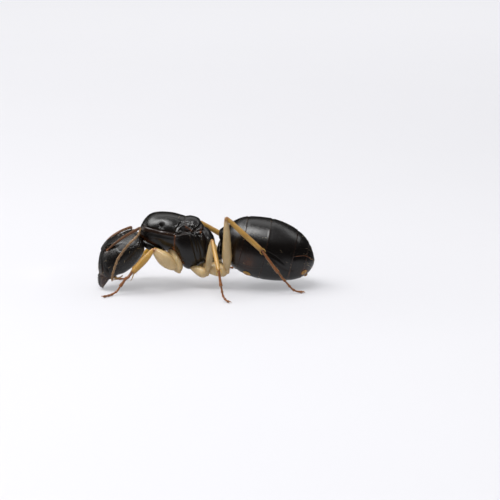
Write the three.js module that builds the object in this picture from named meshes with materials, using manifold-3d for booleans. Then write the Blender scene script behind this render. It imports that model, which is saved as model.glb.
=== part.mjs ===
// A carpenter ant queen that has shed her wings, standing with her head lowered.
// Millimetres, +Z up. The head points to -X and the tail to +X, her left side is -Y,
// and the origin lies on the floor below the middle of the whole animal.
import * as THREE from "three";
import { mergeVertices } from "three/addons/utils/BufferGeometryUtils.js";
import Module from "manifold-3d";

const wasm = await Module();
wasm.setup();

// ---- Driving dimensions ----

const GAP = 0.03; // clear space left between two touching plates
const FEELER_RADIUS = 0.25; // the solids' thinnest limb, thicker than the living one
const LIMB_SIDES = 8;
const FEELER_SIDES = 6;
const OUTLINE_SAMPLES = 120;
const BIG = 20; // a cutter's edge, larger than the animal
const CAP_BANDS = 3; // bands of a limb's mesh that its two round ends take
const LEVEL = new THREE.Vector3(0, 0, 1);
const HANDS = { left: 1, right: -1 }; // in the head's frame, where +Y is the ant's left
const STAND = [0.03, -0.23, 0]; // brings the middle of the whole animal over the origin

const HEAD = {
  back: [-4.2, 0, 3.42], // where the neck enters the back of the head
  pitch: 47, // degrees, face down from level
  yaw: 15, // degrees, face turned to the left
  length: 3.62,
  // outlines as [distance from the back, height above, depth below or half-width of the axis]
  crown: [[0, 0.66], [0.24, 0.82], [0.7, 1.06], [1.2, 1.32], [1.8, 1.44], [2.4, 1.36], [3.0, 1.02],
    [3.62, 0.5]],
  throat: [[0, 0.1], [0.3, 0.42], [0.7, 0.62], [1.2, 0.74], [1.85, 0.74], [2.6, 0.58], [3.1, 0.34],
    [3.62, -0.1]],
  cheek: [[0, 0.6], [0.25, 1.12], [0.7, 1.42], [1.4, 1.57], [2.2, 1.5], [2.9, 1.3], [3.4, 1.02],
    [3.62, 0.72]],
};

// Places are along the head from its back, out from the middle plane and up from the axis.
const EYE = { along: 1.37, out: 1.24, up: 0.84, length: 0.33, height: 0.26, depth: 0.25, turn: 43 };

// The jaws and the mouthparts below them, in the same places as the eyes.
const MANDIBLE = {
  path: [[3.3, 0.62, 0.28], [3.64, 0.6, 0.12], [3.94, 0.44, -0.1], [4.12, 0.26, -0.26]],
  depth: [0.34, 0.32, 0.25, 0.14],
  flat: 1.25, // width of each blade over its depth
};

const MOUTH = { path: [[2.75, 0, -0.4], [3.45, 0, -0.2]], radii: [0.34, 0.3] };

// Outlines as [x, height] seen from the side, and [x, half-width] seen from above.
const THORAX = {
  top: [[-4.3, 3.95], [-4.12, 4.35], [-3.7, 4.82], [-3.1, 5.0], [-2.2, 4.96], [-1.34, 4.75],
    [-0.95, 4.76], [-0.5, 4.56], [-0.12, 4.06], [0.2, 3.85], [0.5, 3.38], [0.6, 2.95]],
  bottom: [[-4.3, 3.3], [-3.7, 2.95], [-2.8, 2.66], [-2.2, 2.52], [-1.9, 2.15], [-1.6, 1.52],
    [-1.3, 1.25], [-1.0, 1.2], [-0.65, 1.33], [-0.3, 1.58], [0.15, 1.85], [0.6, 2.5]],
  side: [[-4.3, 0.5], [-4.0, 0.95], [-3.3, 1.3], [-2.4, 1.4], [-1.4, 1.3], [-0.6, 1.1],
    [0.1, 0.92], [0.45, 0.72], [0.6, 0.45]],
};

// The gaster's own outlines run from its front, measured from its axis.
const GASTER = {
  front: [0.93, 0, 3.02],
  pitch: 12.9, // degrees, tail down from level
  length: 6.3,
  top: [[0, 0.35], [0.25, 1.1], [0.8, 1.72], [1.6, 2.08], [3.1, 2.24], [4.4, 2.02], [5.4, 1.5],
    [6.0, 0.8], [6.3, 0.2]],
  bottom: [[0, 0.25], [0.4, 0.75], [1.1, 1.4], [2.1, 1.72], [3.2, 1.8], [4.6, 1.6], [5.6, 1.2],
    [6.1, 0.7], [6.3, 0.2]],
  side: [[0, 0.4], [0.4, 1.05], [1.2, 1.65], [2.4, 1.95], [3.4, 1.98], [4.6, 1.72], [5.6, 1.2],
    [6.1, 0.65], [6.3, 0.2]],
  seams: [1.37, 2.92, 4.75, 5.65], // from the front, where one segment slides under the next
};

// Plates cut from the thorax in turn: each plane is x, z and the angle that points into the plate.
const PLATES = {
  mesoscutum: [[-2.85, 4.03, 79.3], [-1.34, 4.8, 184]],
  scutellum: [[-0.8, 3.95, 88], [-0.1, 4.0, 200]],
  pronotum: [[-1.96, 3.7, 186]],
  propodeum: [[-0.1, 3.4, 8]],
};

const PETIOLE = { centre: [0.83, 0, 2.46], thickness: 0.24, height: 0.7, width: 0.62, lean: -8 };

// Each antenna: socket, bend of the scape, elbow, then the course of the lash.
const ANTENNAE = {
  left: {
    scape: [[-6.43, -1.11, 2.67], [-5.4, -1.85, 3.8], [-4.27, -2.5, 4.5]],
    lash: [[-4.27, -2.5, 4.5], [-4.5, -2.68, 4.08], [-4.98, -2.75, 3.66], [-5.44, -2.7, 3.08],
      [-5.77, -2.6, 2.55], [-5.97, -2.5, 2.02], [-6.13, -2.4, 1.5], [-6.2, -2.3, 1.04]],
  },
  right: {
    scape: [[-6.69, -0.15, 2.67], [-5.77, 0.95, 3.5], [-4.98, 2.2, 3.56]],
    lash: [[-4.98, 2.2, 3.56], [-5.04, 2.55, 3.2], [-5.25, 2.9, 2.8], [-5.6, 3.1, 2.2],
      [-5.85, 3.05, 1.5], [-5.95, 2.75, 1.0], [-6.0, 2.45, 0.82]],
  },
};

// Each leg from hip to claw.
const LEGS = {
  left_front: {
    coxa: [[-2.4, -0.72, 2.6], [-1.72, -0.9, 1.2]],
    knee: [-3.34, -1.9, 2.9],
    ankle: [-4.95, -2.3, 1.33],
    foot: [[-5.5, -2.3, 0.6], [-5.86, -2.4, 0.24], [-6.36, -3.0, 0.2], [-6.72, -3.22, 0.2]],
  },
  right_front: {
    coxa: [[-2.55, 0.7, 2.6], [-2.15, 0.85, 0.98]],
    knee: [-3.54, 1.9, 2.3],
    ankle: [-4.9, 1.95, 0.55],
    foot: [[-5.33, 1.64, 0.24], [-5.72, 1.45, 0.2], [-6.1, 1.9, 0.2], [-6.4, 2.45, 0.2]],
  },
  left_middle: {
    coxa: [[-0.78, -0.5, 1.55], [-0.08, -0.82, 1.0]],
    knee: [0.38, -1.9, 3.53],
    ankle: [0.92, -3.75, 1.9],
    foot: [[1.06, -4.0, 0.9], [1.2, -4.1, 0.32], [1.4, -4.3, 0.2], [1.6, -4.5, 0.2]],
  },
  right_middle: {
    coxa: [[-0.8, 0.5, 1.55], [-0.14, 0.82, 1.0]],
    knee: [-0.9, 1.9, 3.2],
    ankle: [-0.1, 3.9, 1.8],
    foot: [[0.6, 4.35, 0.95], [1.2, 4.65, 0.34], [1.55, 4.85, 0.2], [1.85, 4.98, 0.2]],
  },
  left_hind: {
    coxa: [[0.34, -0.5, 1.95], [1.28, -0.92, 1.2]],
    knee: [1.38, -2.35, 5.1],
    ankle: [3.7, -2.62, 2.98],
    foot: [[4.45, -2.5, 1.86], [5.2, -2.25, 0.85], [5.75, -2.0, 0.3], [6.25, -1.9, 0.2]],
  },
  right_hind: {
    coxa: [[0.3, 0.5, 1.95], [1.2, 0.92, 1.2]],
    knee: [-0.58, 2.7, 3.91],
    ankle: [2.0, 3.2, 2.2],
    foot: [[2.7, 3.6, 1.35], [3.5, 4.0, 0.55], [4.1, 4.2, 0.24], [4.65, 4.3, 0.2]],
  },
};

// Radii evenly spaced along each hip and thigh.
const LEG_RADII = {
  front: { coxa: [0.3, 0.46, 0.4, 0.3], femur: [0.27, 0.4, 0.46, 0.4, 0.27] },
  middle: { coxa: [0.3, 0.42, 0.38, 0.3], femur: [0.27, 0.3, 0.29, 0.27, 0.26] },
  hind: { coxa: [0.3, 0.46, 0.42, 0.3], femur: [0.27, 0.33, 0.33, 0.29, 0.26] },
};
const TROCHANTER_REACH = 0.16; // share of the thigh that the trochanter takes

// ---- Colours and finishes ----

const FINISH = {
  shell: { color: 0x17140f, roughness: 0.35 },
  jaw: { color: 0x2a120a, roughness: 0.3 },
  eye: { color: 0x0c0b0a, roughness: 0.2 },
  feeler: { color: 0x9c6a3c, roughness: 0.45 },
  leg: { color: 0xc9a273, roughness: 0.4 },
  foot: { color: 0x8a4a2c, roughness: 0.45 },
};

function material(finish) {
  return new THREE.MeshStandardMaterial({ metalness: 0, ...FINISH[finish] });
}

// ---- Shape helpers ----

// Height of an outline at x, on a smooth curve through a few [x, height] points.
function outline(points) {
  const curve = new THREE.SplineCurve(points.map(([x, y]) => new THREE.Vector2(x, y)));
  const samples = curve.getPoints(OUTLINE_SAMPLES);
  return (x) => {
    const next = samples.findIndex((p, i) => i > 0 && p.x >= x);
    const b = samples[next < 0 ? samples.length - 1 : next];
    const a = samples[(next < 0 ? samples.length : next) - 1] ?? b;
    const share = b.x > a.x ? THREE.MathUtils.clamp((x - a.x) / (b.x - a.x), 0, 1) : 0;
    return a.y + (b.y - a.y) * share;
  };
}

// Moves every point of a unit sphere with poles on Y, and keeps it one closed surface.
function remap(sides, rings, place) {
  const shape = new THREE.SphereGeometry(1, sides, rings);
  const at = shape.getAttribute("position");
  const p = new THREE.Vector3();
  for (let i = 0; i < at.count; i++) {
    p.fromBufferAttribute(at, i);
    const girth = Math.hypot(p.x, p.z);
    const across = girth > 1e-6 ? p.x / girth : 0;
    const up = girth > 1e-6 ? p.z / girth : 0;
    const along = Math.acos(THREE.MathUtils.clamp(p.y, -1, 1)) / Math.PI;
    place(p, along, across, up, girth > 1e-6);
    at.setXYZ(i, p.x, p.y, p.z);
  }
  shape.deleteAttribute("normal");
  shape.deleteAttribute("uv");
  return mergeVertices(shape, 1e-4);
}

// A body lofted along +X between its top, bottom and side outlines.
function lofted(from, to, top, bottom, side, { sides = 18, rings = 18, grow = 0 } = {}) {
  return remap(sides, rings, (p, along, across, up, offAxis) => {
    const share = (1 - Math.cos(Math.PI * along)) / 2;
    const x = from + (to - from) * share;
    const middle = (top(x) + bottom(x)) / 2;
    const half = offAxis ? (top(x) - bottom(x)) / 2 + grow : 0;
    const width = offAxis ? side(x) + grow : 0;
    p.set(x + grow * (2 * share - 1), across * width, middle + up * half);
  });
}

// An ellipsoid.
function ellipsoid(radii, sides = 12, rings = 6) {
  return remap(sides, rings, (p) => p.set(p.x * radii[0], p.y * radii[1], p.z * radii[2]));
}

// Radius at a share of a limb's length, eased between evenly spaced values.
function easedRadius(radii, share) {
  if (radii.length === 1) return radii[0];
  const step = THREE.MathUtils.clamp(share, 0, 1) * (radii.length - 1);
  const low = Math.min(Math.floor(step), radii.length - 2);
  return THREE.MathUtils.lerp(radii[low], radii[low + 1], THREE.MathUtils.smoothstep(step - low, 0, 1));
}

// A round-ended limb along a smooth curve, with half balls centred on its first and last points.
// `flat` narrows it from side to side.
function limb(points, radii, { sides = LIMB_SIDES, rings = 5, grow = 0, flat = 1 } = {}) {
  const curve = new THREE.CatmullRomCurve3(points.map((q) => new THREE.Vector3(...q)));
  const bands = rings + CAP_BANDS;
  return remap(sides, bands, (p, along, across, up, offAxis) => {
    const ring = Math.round(along * bands) - 2;
    const share = THREE.MathUtils.clamp(ring / (rings - 1), 0, 1);
    const radius = easedRadius(radii, share) + grow;
    const beyond = ring < 0 ? -1 : Number(ring > rings - 1);
    const reach = radius * (offAxis ? Math.SQRT1_2 : 1);
    const girth = offAxis ? radius * (beyond ? Math.SQRT1_2 : 1) : 0;
    const ahead = curve.getTangentAt(share);
    const aside = new THREE.Vector3().crossVectors(LEVEL, ahead);
    if (aside.length() < 0.05) aside.set(0, 1, 0);
    aside.normalize();
    const above = new THREE.Vector3().crossVectors(ahead, aside);
    p.copy(curve.getPointAt(share)).addScaledVector(ahead, beyond * reach);
    p.addScaledVector(aside, across * girth * flat).addScaledVector(above, up * girth);
  });
}

// A large block on one side of a plane that holds the Y direction and passes through (x, z).
// The block lies where `angle`, in degrees from +X towards +Z, points.
function beyondPlane(x, z, angle) {
  const block = new THREE.BoxGeometry(BIG, BIG, BIG).translate((BIG + GAP) / 2, 0, 0);
  return solid(block.rotateY(-THREE.MathUtils.degToRad(angle)).translate(x, 0, z));
}

// A closed shape as a solid for joins and cuts.
function solid(shape, matrix = new THREE.Matrix4()) {
  const bare = shape.clone().applyMatrix4(matrix);
  bare.deleteAttribute("normal");
  bare.deleteAttribute("uv");
  const closed = mergeVertices(bare, 1e-4);
  return new wasm.Manifold(new wasm.Mesh({
    numProp: 3,
    vertProperties: new Float32Array(closed.attributes.position.array),
    triVerts: new Uint32Array(closed.index.array),
  }));
}

// The largest body of a solid, as a named mesh.
function named(name, body, finish) {
  const pieces = body.decompose().sort((a, b) => b.volume() - a.volume());
  const cut = pieces[0].getMesh();
  const shape = new THREE.BufferGeometry();
  const points = [];
  for (let i = 0; i < cut.numVert; i++) {
    points.push(...cut.vertProperties.slice(i * cut.numProp, i * cut.numProp + 3));
  }
  shape.setAttribute("position", new THREE.Float32BufferAttribute(points, 3));
  shape.setIndex([...cut.triVerts]);
  shape.computeVertexNormals();
  const mesh = new THREE.Mesh(shape, material(finish));
  mesh.name = name;
  return mesh;
}

// ---- Head, eyes, jaws and mouthparts, in the head's frame: +X to the face, +Y left, +Z crown ----

const head = new THREE.Group();
head.position.set(...HEAD.back);
head.rotation.order = "ZYX";
head.rotation.y = THREE.MathUtils.degToRad(HEAD.pitch);
head.rotation.z = THREE.MathUtils.degToRad(180 + HEAD.yaw);
head.updateMatrix();

const crown = outline(HEAD.crown);
const throat = outline(HEAD.throat);

function capsule(grow = 0) {
  return lofted(0, HEAD.length, crown, (x) => -throat(x), outline(HEAD.cheek), { grow });
}

function eye(hand, grow = 0) {
  const radii = [EYE.length + grow, EYE.depth + grow, EYE.height + grow];
  const tilted = ellipsoid(radii).rotateX(hand * THREE.MathUtils.degToRad(EYE.turn));
  return tilted.translate(EYE.along, hand * EYE.out, EYE.up);
}

function jaw(hand, grow = 0) {
  const path = MANDIBLE.path.map(([x, y, z]) => [x, hand * y, z]);
  return limb(path, MANDIBLE.depth, { sides: 10, flat: MANDIBLE.flat, grow });
}

function makeHead() {
  let shell = solid(capsule());
  for (const hand of [1, -1]) shell = shell.subtract(solid(eye(hand, GAP)));
  head.add(named("head", shell, "shell"));
  for (const [side, hand] of Object.entries(HANDS)) {
    head.add(named("eye_" + side, solid(eye(hand)), "eye"));
    const blade = solid(jaw(hand)).subtract(solid(capsule(GAP)));
    head.add(named("mandible_" + side, blade, "jaw"));
  }
  const mouth = solid(limb(MOUTH.path, MOUTH.radii, { sides: 10 }));
  const around = [capsule(GAP), jaw(1, GAP), jaw(-1, GAP)].map((shape) => solid(shape));
  head.add(named("mouthparts", around.reduce((rest, cutter) => rest.subtract(cutter), mouth), "feeler"));
  return head;
}

// ---- Thorax: one lofted body parted by thin cuts into its plates ----

function trunk(grow = 0) {
  const shape = [outline(THORAX.top), outline(THORAX.bottom), outline(THORAX.side)];
  return lofted(THORAX.top[0][0], THORAX.top.at(-1)[0], ...shape, { grow });
}

function makeThorax() {
  const group = new THREE.Group();
  let rest = solid(trunk()).subtract(solid(capsule(GAP), head.matrix));
  for (const [name, planes] of Object.entries(PLATES)) {
    const inside = planes.map((plane) => beyondPlane(...plane));
    const outside = planes.map(([x, z, angle]) => beyondPlane(x, z, angle + 180));
    group.add(named(name, inside.reduce((body, block) => body.intersect(block), rest), "shell"));
    const kept = outside.map((block) => rest.intersect(block));
    rest = kept.reduce((body, piece) => body.add(piece));
  }
  group.add(named("mesopleuron", rest, "shell"));
  return group;
}

// ---- Gaster: one lofted body parted across into its five visible segments ----

const gaster = new THREE.Group();
gaster.position.set(...GASTER.front);
gaster.rotation.y = THREE.MathUtils.degToRad(GASTER.pitch);
gaster.updateMatrix();

function abdomen(grow = 0) {
  const bottom = outline(GASTER.bottom);
  const shape = [outline(GASTER.top), (x) => -bottom(x), outline(GASTER.side)];
  return lofted(0, GASTER.length, ...shape, { grow });
}

function makeGaster() {
  let rest = solid(abdomen());
  GASTER.seams.forEach((seam, i) => {
    gaster.add(named("gaster_" + (i + 1), rest.intersect(beyondPlane(seam, 0, 180)), "shell"));
    rest = rest.intersect(beyondPlane(seam, 0, 0));
  });
  gaster.add(named("gaster_" + (GASTER.seams.length + 1), rest, "shell"));
  return gaster;
}

// The waist: one upright scale between thorax and gaster.
function makePetiole() {
  const { centre, thickness, height, width, lean } = PETIOLE;
  const scale = ellipsoid([thickness, width, height]).rotateY(THREE.MathUtils.degToRad(lean));
  const body = solid(scale.translate(...centre));
  const around = solid(trunk(GAP)).add(solid(abdomen(GAP), gaster.matrix));
  return named("petiole", body.subtract(around), "shell");
}

// ---- Antennae ----

function makeAntenna(side, course) {
  const group = new THREE.Group();
  const sides = FEELER_SIDES;
  const scape = (grow) => limb(course.scape, [FEELER_RADIUS], { sides, grow });
  const face = [capsule(GAP), eye(HANDS[side], GAP)].map((shape) => solid(shape, head.matrix));
  const shaft = face.reduce((rest, cutter) => rest.subtract(cutter), solid(scape(0)));
  group.add(named("scape_" + side, shaft, "feeler"));
  const half = Math.floor(course.lash.length / 2);
  const inner = limb(course.lash.slice(0, half + 1), [FEELER_RADIUS], { sides });
  const outer = (grow) => limb(course.lash.slice(half), [FEELER_RADIUS], { sides, grow });
  const start = solid(inner).subtract(solid(scape(GAP))).subtract(solid(outer(GAP)));
  group.add(named("lash_base_" + side, start, "feeler"));
  group.add(named("lash_tip_" + side, solid(outer(0)), "feeler"));
  return group;
}

// ---- Legs ----

const lerp = (a, b, share) => a.map((value, i) => value + (b[i] - value) * share);

// The parts of one leg from hip to claw: name, the shape grown by a margin, and finish.
function legParts(name, leg) {
  const radii = LEG_RADII[name.split("_")[1]];
  const hip = leg.coxa.at(-1);
  const joint = lerp(hip, leg.knee, TROCHANTER_REACH);
  const knee = radii.femur.at(-1);
  const sides = FEELER_SIDES;
  const shin = [knee - 0.01, FEELER_RADIUS];
  const toe = [FEELER_RADIUS];
  return [
    ["coxa", (grow) => limb(leg.coxa, radii.coxa, { grow }), "leg"],
    ["trochanter", (grow) => limb([hip, joint], [radii.femur[0]], { sides, rings: 2, grow }), "leg"],
    ["femur", (grow) => limb([joint, leg.knee], radii.femur, { grow }), "leg"],
    ["tibia", (grow) => limb([leg.knee, leg.ankle], shin, { sides, rings: 3, grow }), "leg"],
    ["tarsus", (grow) => limb([leg.ankle, ...leg.foot], toe, { sides, rings: 9, grow }), "foot"],
  ];
}

function makeLeg(name, leg) {
  const group = new THREE.Group();
  const aboveFloor = beyondPlane(0, -GAP / 2, 90);
  let before = solid(trunk(GAP));
  for (const [part, shape, finish] of legParts(name, leg)) {
    const body = solid(shape(0)).subtract(before).intersect(aboveFloor);
    group.add(named(part + "_" + name, body, finish));
    before = before.add(solid(shape(GAP)));
  }
  return group;
}

// ---- The whole animal ----

const ant = new THREE.Group();
ant.position.set(...STAND);
ant.add(makeHead(), makeThorax(), makePetiole(), makeGaster());
for (const [side, course] of Object.entries(ANTENNAE)) ant.add(makeAntenna(side, course));
for (const [name, leg] of Object.entries(LEGS)) ant.add(makeLeg(name, leg));

export default ant;
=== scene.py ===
"""A life-size model of a wingless carpenter ant queen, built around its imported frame."""

import math

import bmesh
import bpy
import numpy as np
from mathutils import Matrix, Vector
from mathutils.kdtree import KDTree


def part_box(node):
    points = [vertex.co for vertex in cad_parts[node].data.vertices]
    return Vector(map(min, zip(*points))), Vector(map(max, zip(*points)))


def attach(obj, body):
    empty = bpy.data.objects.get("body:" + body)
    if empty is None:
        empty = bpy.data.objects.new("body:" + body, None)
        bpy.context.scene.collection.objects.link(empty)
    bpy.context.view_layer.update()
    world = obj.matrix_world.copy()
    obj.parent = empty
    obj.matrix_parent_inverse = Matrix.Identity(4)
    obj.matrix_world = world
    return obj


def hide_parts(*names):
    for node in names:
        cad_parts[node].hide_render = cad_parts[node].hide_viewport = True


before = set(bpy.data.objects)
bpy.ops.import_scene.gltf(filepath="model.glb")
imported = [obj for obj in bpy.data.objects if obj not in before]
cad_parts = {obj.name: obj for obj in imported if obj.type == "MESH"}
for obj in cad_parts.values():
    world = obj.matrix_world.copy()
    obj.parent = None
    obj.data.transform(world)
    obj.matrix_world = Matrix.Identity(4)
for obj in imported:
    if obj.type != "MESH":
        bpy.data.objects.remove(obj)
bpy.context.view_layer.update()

bl_info = {
    "name": "Carpenter Ant Queen",
    "version": (1, 0, 0),
    "blender": (4, 5, 0),
    "location": "View3D > Sidebar > Ant",
    "description": "Builds a life-size model of a wingless carpenter ant queen on a pale stage",
    "category": "Object",
}

MM = 0.001  # every shape is worked out in millimetres and stored in metres
BODY = "root"
HANDS = {"left": 1, "right": -1}
TURN = 2 * math.pi


# ---- Numbers and curves ----

def unit(v):
    """v at length one."""
    return v / np.maximum(np.linalg.norm(v, axis=-1, keepdims=True), 1e-12)


def ease(x, low, high):
    """0 below low, 1 above high, and smooth between them."""
    t = np.clip((x - low) / (high - low), 0, 1)
    return t * t * (3 - 2 * t)


def bell(distance, width):
    """1 at distance 0, fading over the width."""
    return np.exp(-((distance / width) ** 2))


def spline(points, count=240):
    """Points on a smooth curve through the given ones, evenly spread between each two."""
    p = np.asarray(points, float)
    padded = np.vstack([p[:1], p, p[-1:]])
    t = np.linspace(0, len(p) - 1, count)
    i = np.minimum(t.astype(int), len(p) - 2)
    w = (t - i)[:, None]
    a, b, c, d = (padded[i + k] for k in range(4))
    from_b, from_c = (c - a) / 2, (d - b) / 2
    start = (2 * w**3 - 3 * w**2 + 1) * b + (w**3 - 2 * w**2 + w) * from_b
    return start + (3 * w**2 - 2 * w**3) * c + (w**3 - w**2) * from_c


def outline(points):
    """Height of a smooth curve through [x, height] points, as a function of x."""
    curve = spline(points)
    xs = np.maximum.accumulate(curve[:, 0])
    return lambda x: np.interp(x, xs, curve[:, 1])


def along(line, shares):
    """Points at shares of a polyline's length."""
    line = np.asarray(line, float)
    run = np.concatenate([[0], np.cumsum(np.linalg.norm(np.diff(line, axis=0), axis=1))])
    at = np.asarray(shares) * run[-1]
    return np.stack([np.interp(at, run, line[:, k]) for k in range(3)], axis=-1)


def length_of(line):
    """A polyline's length."""
    return float(np.linalg.norm(np.diff(line, axis=0), axis=1).sum())


def line_distance(points, line):
    """Distance of each 2-D point from a polyline."""
    best = np.full(len(points), np.inf)
    line = np.asarray(line, float)
    for a, b in zip(line[:-1], line[1:]):
        reach = np.clip(((points - a) @ (b - a)) / ((b - a) @ (b - a)), 0, 1)
        best = np.minimum(best, np.linalg.norm(points - a - reach[:, None] * (b - a), axis=1))
    return best


# ---- Meshes, in millimetres ----

class Shape:
    """A mesh in the making: points, faces, masks over the points and an unwrap for its hairs."""

    def __init__(self, points, faces, unwrap=None, **masks):
        self.points = np.asarray(points, float)
        self.faces = faces
        self.unwrap = np.zeros((len(points), 2)) if unwrap is None else unwrap
        self.masks = masks

    def normals(self):
        """Smooth normals of the points."""
        total = np.zeros_like(self.points)
        for size in (3, 4):
            rows = np.array([f for f in self.faces if len(f) == size], int)
            if len(rows):
                p = self.points[rows]
                # two sides of a triangle, or the two diagonals of a four-sided face
                first, second = ((1, 0), (2, 0)) if size == 3 else ((2, 0), (3, 1))
                flat = np.cross(p[:, first[0]] - p[:, first[1]], p[:, second[0]] - p[:, second[1]])
                for k in range(size):
                    np.add.at(total, rows[:, k], flat)
        return unit(total)

    def raise_by(self, heights):
        """Moves every point along its normal."""
        self.points = self.points + self.normals() * np.asarray(heights)[:, None]
        return self

    def mask(self, name):
        """A mask's values, zero where it was never set."""
        return self.masks.get(name, np.zeros(len(self.points)))

    def thickened(self, depth):
        """The open sheet as a closed shell, `depth` thick on its inner side."""
        count = len(self.points)
        inner = self.points - self.normals() * depth
        edges = dict.fromkeys(pair for face in self.faces for pair in zip(face, face[1:] + face[:1]))
        rim = [(a, b) for a, b in edges if (b, a) not in edges]
        faces = list(self.faces) + [[i + count for i in reversed(f)] for f in self.faces]
        faces += [[b, a, a + count, b + count] for a, b in rim]
        masks = {name: np.tile(values, 2) for name, values in self.masks.items()}
        masks["outer"] = np.repeat([1.0, 0.0], count)
        return Shape(np.vstack([self.points, inner]), faces, np.tile(self.unwrap, (2, 1)), **masks)


def joined(shapes):
    """Several shapes as one."""
    names = {name for s in shapes for name in s.masks}
    faces, start = [], 0
    for s in shapes:
        faces += [[i + start for i in f] for f in s.faces]
        start += len(s.points)
    masks = {n: np.concatenate([s.mask(n) for s in shapes]) for n in names}
    points = np.vstack([s.points for s in shapes])
    return Shape(points, faces, np.vstack([s.unwrap for s in shapes]), **masks)


def wrapped(rings, **masks):
    """A closed shape from rings of points: the first and last ring shrink to one point each."""
    n, m = rings.shape[:2]
    rest = rings[1:-1].reshape(-1, 3)
    points = np.vstack([rings[:1, 0], rest, rings[-1:, 0]])
    last = len(points) - 1
    at = lambda i, j: 1 + (i - 1) * m + j % m
    faces = [[0, at(1, j + 1), at(1, j)] for j in range(m)]
    for i in range(1, n - 2):
        faces += [[at(i, j), at(i, j + 1), at(i + 1, j + 1), at(i + 1, j)] for j in range(m)]
    faces += [[last, at(n - 2, j), at(n - 2, j + 1)] for j in range(m)]
    pick = lambda v: np.concatenate([v[:1, 0], v[1:-1].reshape(-1, *v.shape[2:]), v[-1:, 0]])
    flat = {name: pick(np.broadcast_to(v, (n, m)).astype(float)) for name, v in masks.items()}
    u, v = np.meshgrid(np.linspace(0, 1, n), np.linspace(0, 1, m, endpoint=False), indexing="ij")
    return Shape(points, faces, pick(np.stack([u, v], axis=-1)), **flat)


def sheet_of(grid, unwrap, **masks):
    """An open sheet from a grid of points and their places on its unwrap."""
    n, m = grid.shape[:2]
    at = lambda i, j: i * m + j
    faces = [
        [at(i, j), at(i, j + 1), at(i + 1, j + 1), at(i + 1, j)]
        for i in range(n - 1) for j in range(m - 1)
    ]
    flat = {name: np.broadcast_to(v, (n, m)).astype(float).ravel() for name, v in masks.items()}
    return Shape(grid.reshape(-1, 3), faces, unwrap.reshape(-1, 2), **flat)


def tube(line, profile, sides=20, rings=40, flat=1.0, up=(0, 0, 1), **masks):
    """A round limb along a line. The profile is [share, radius] points or a function of the share.
    `flat` widens it across, and each mask is a function of the share and the angle."""
    shares = (1 - np.cos(np.linspace(0, math.pi, rings))) / 2
    radius = (outline(profile) if not callable(profile) else profile)(shares)
    radius = np.where((shares <= 0) | (shares >= 1), 0, radius)
    centre = along(line, shares)
    ahead = unit(np.gradient(centre, axis=0))
    aside = np.cross(np.asarray(up, float), ahead)
    weak = np.linalg.norm(aside, axis=1) < 0.05
    aside[weak] = np.cross((0.3, 1.0, 0.2), ahead[weak])
    aside = unit(aside)
    above = np.cross(ahead, aside)
    angle = np.linspace(0, TURN, sides, endpoint=False)
    ring = aside[:, None] * (np.cos(angle) * flat)[None, :, None]
    ring = ring + above[:, None] * np.sin(angle)[None, :, None]
    points = centre[:, None] + ring * radius[:, None, None]
    share_grid, angle_grid = np.meshgrid(shares, angle, indexing="ij")
    made = {name: rule(share_grid, angle_grid) for name, rule in masks.items()}
    return wrapped(points, **made)


def blob(centre, radii, turn=None, sides=24, rings=16, **masks):
    """A smooth ellipsoid."""
    lift = np.linspace(0, math.pi, rings)
    angle = np.linspace(0, TURN, sides, endpoint=False)
    a, b = np.meshgrid(lift, angle, indexing="ij")
    ball = np.stack([-np.cos(a), np.sin(a) * np.cos(b), np.sin(a) * np.sin(b)], axis=-1)
    points = ball * np.asarray(radii, float)
    if turn is not None:
        points = points @ np.array(turn).T
    return wrapped(points + np.asarray(centre, float), **masks)


class Loft:
    """A body between top, bottom and side outlines along its own X, seated on its CAD nodes."""

    def __init__(self, body, nodes):
        self.top, self.bottom, self.side = (outline(body[k]) for k in ("top", "bottom", "side"))
        self.start, self.end = body["top"][0][0], body["top"][-1][0]
        self.turn = np.array(body.get("turn", Matrix.Identity(3)))
        self.origin = np.zeros(3)
        share, angle = np.meshgrid(np.linspace(0, 1, 60), np.linspace(0, TURN, 60), indexing="ij")
        cloud = self.world(self.surface(self.x_at(share), angle)).reshape(-1, 3)
        corners = [np.array(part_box(node)) / MM for node in nodes]
        low = np.min([c[0] for c in corners], axis=0)
        high = np.max([c[1] for c in corners], axis=0)
        self.origin = (low + high - cloud.min(axis=0) - cloud.max(axis=0)) / 2

    def x_at(self, share):
        """The place along the body at a share of its length, closer together at the ends."""
        return self.start + (self.end - self.start) * (1 - np.cos(math.pi * share)) / 2

    def share_at(self, x):
        """The share of the length at a place along the body."""
        reach = np.clip((x - self.start) / (self.end - self.start), 0, 1)
        return np.arccos(1 - 2 * reach) / math.pi

    def surface(self, x, angle, lift=0.0):
        """Points of the surface, in the body's own frame: angle 0 is the top, turning to +Y."""
        top, bottom = self.top(x), self.bottom(x)
        half, middle = (top - bottom) / 2 + lift, (top + bottom) / 2
        y = np.sin(angle) * (self.side(x) + lift)
        return np.stack([x + 0 * angle, y, middle + np.cos(angle) * half], axis=-1)

    def angle_at(self, points):
        """The angle round the body of points near its surface."""
        x = points[..., 0]
        top, bottom = self.top(x), self.bottom(x)
        up = (points[..., 2] - (top + bottom) / 2) / np.maximum((top - bottom) / 2, 1e-3)
        return np.arctan2(points[..., 1] / np.maximum(self.side(x), 1e-3), up)

    def unwrap(self, points):
        """Where points lie on the body's own unwrap."""
        share = self.share_at(points[..., 0])
        return np.stack([0.02 + 0.96 * share, 0.5 + 0.48 * self.angle_at(points) / math.pi], axis=-1)

    def whole(self, rings, sides):
        """The body's whole surface in its own frame."""
        share, angle = np.meshgrid(
            np.linspace(0, 1, rings), np.linspace(0, TURN, sides, endpoint=False), indexing="ij"
        )
        shape = wrapped(self.surface(self.x_at(share), -angle))
        shape.unwrap = self.unwrap(shape.points)
        return shape

    def world(self, points):
        """Points of the body's own frame, in the row frame."""
        return points @ self.turn.T + self.origin

    def placed(self, shape):
        """The shape moved from the body's own frame to the row frame."""
        shape.points = self.world(shape.points)
        return shape


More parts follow.
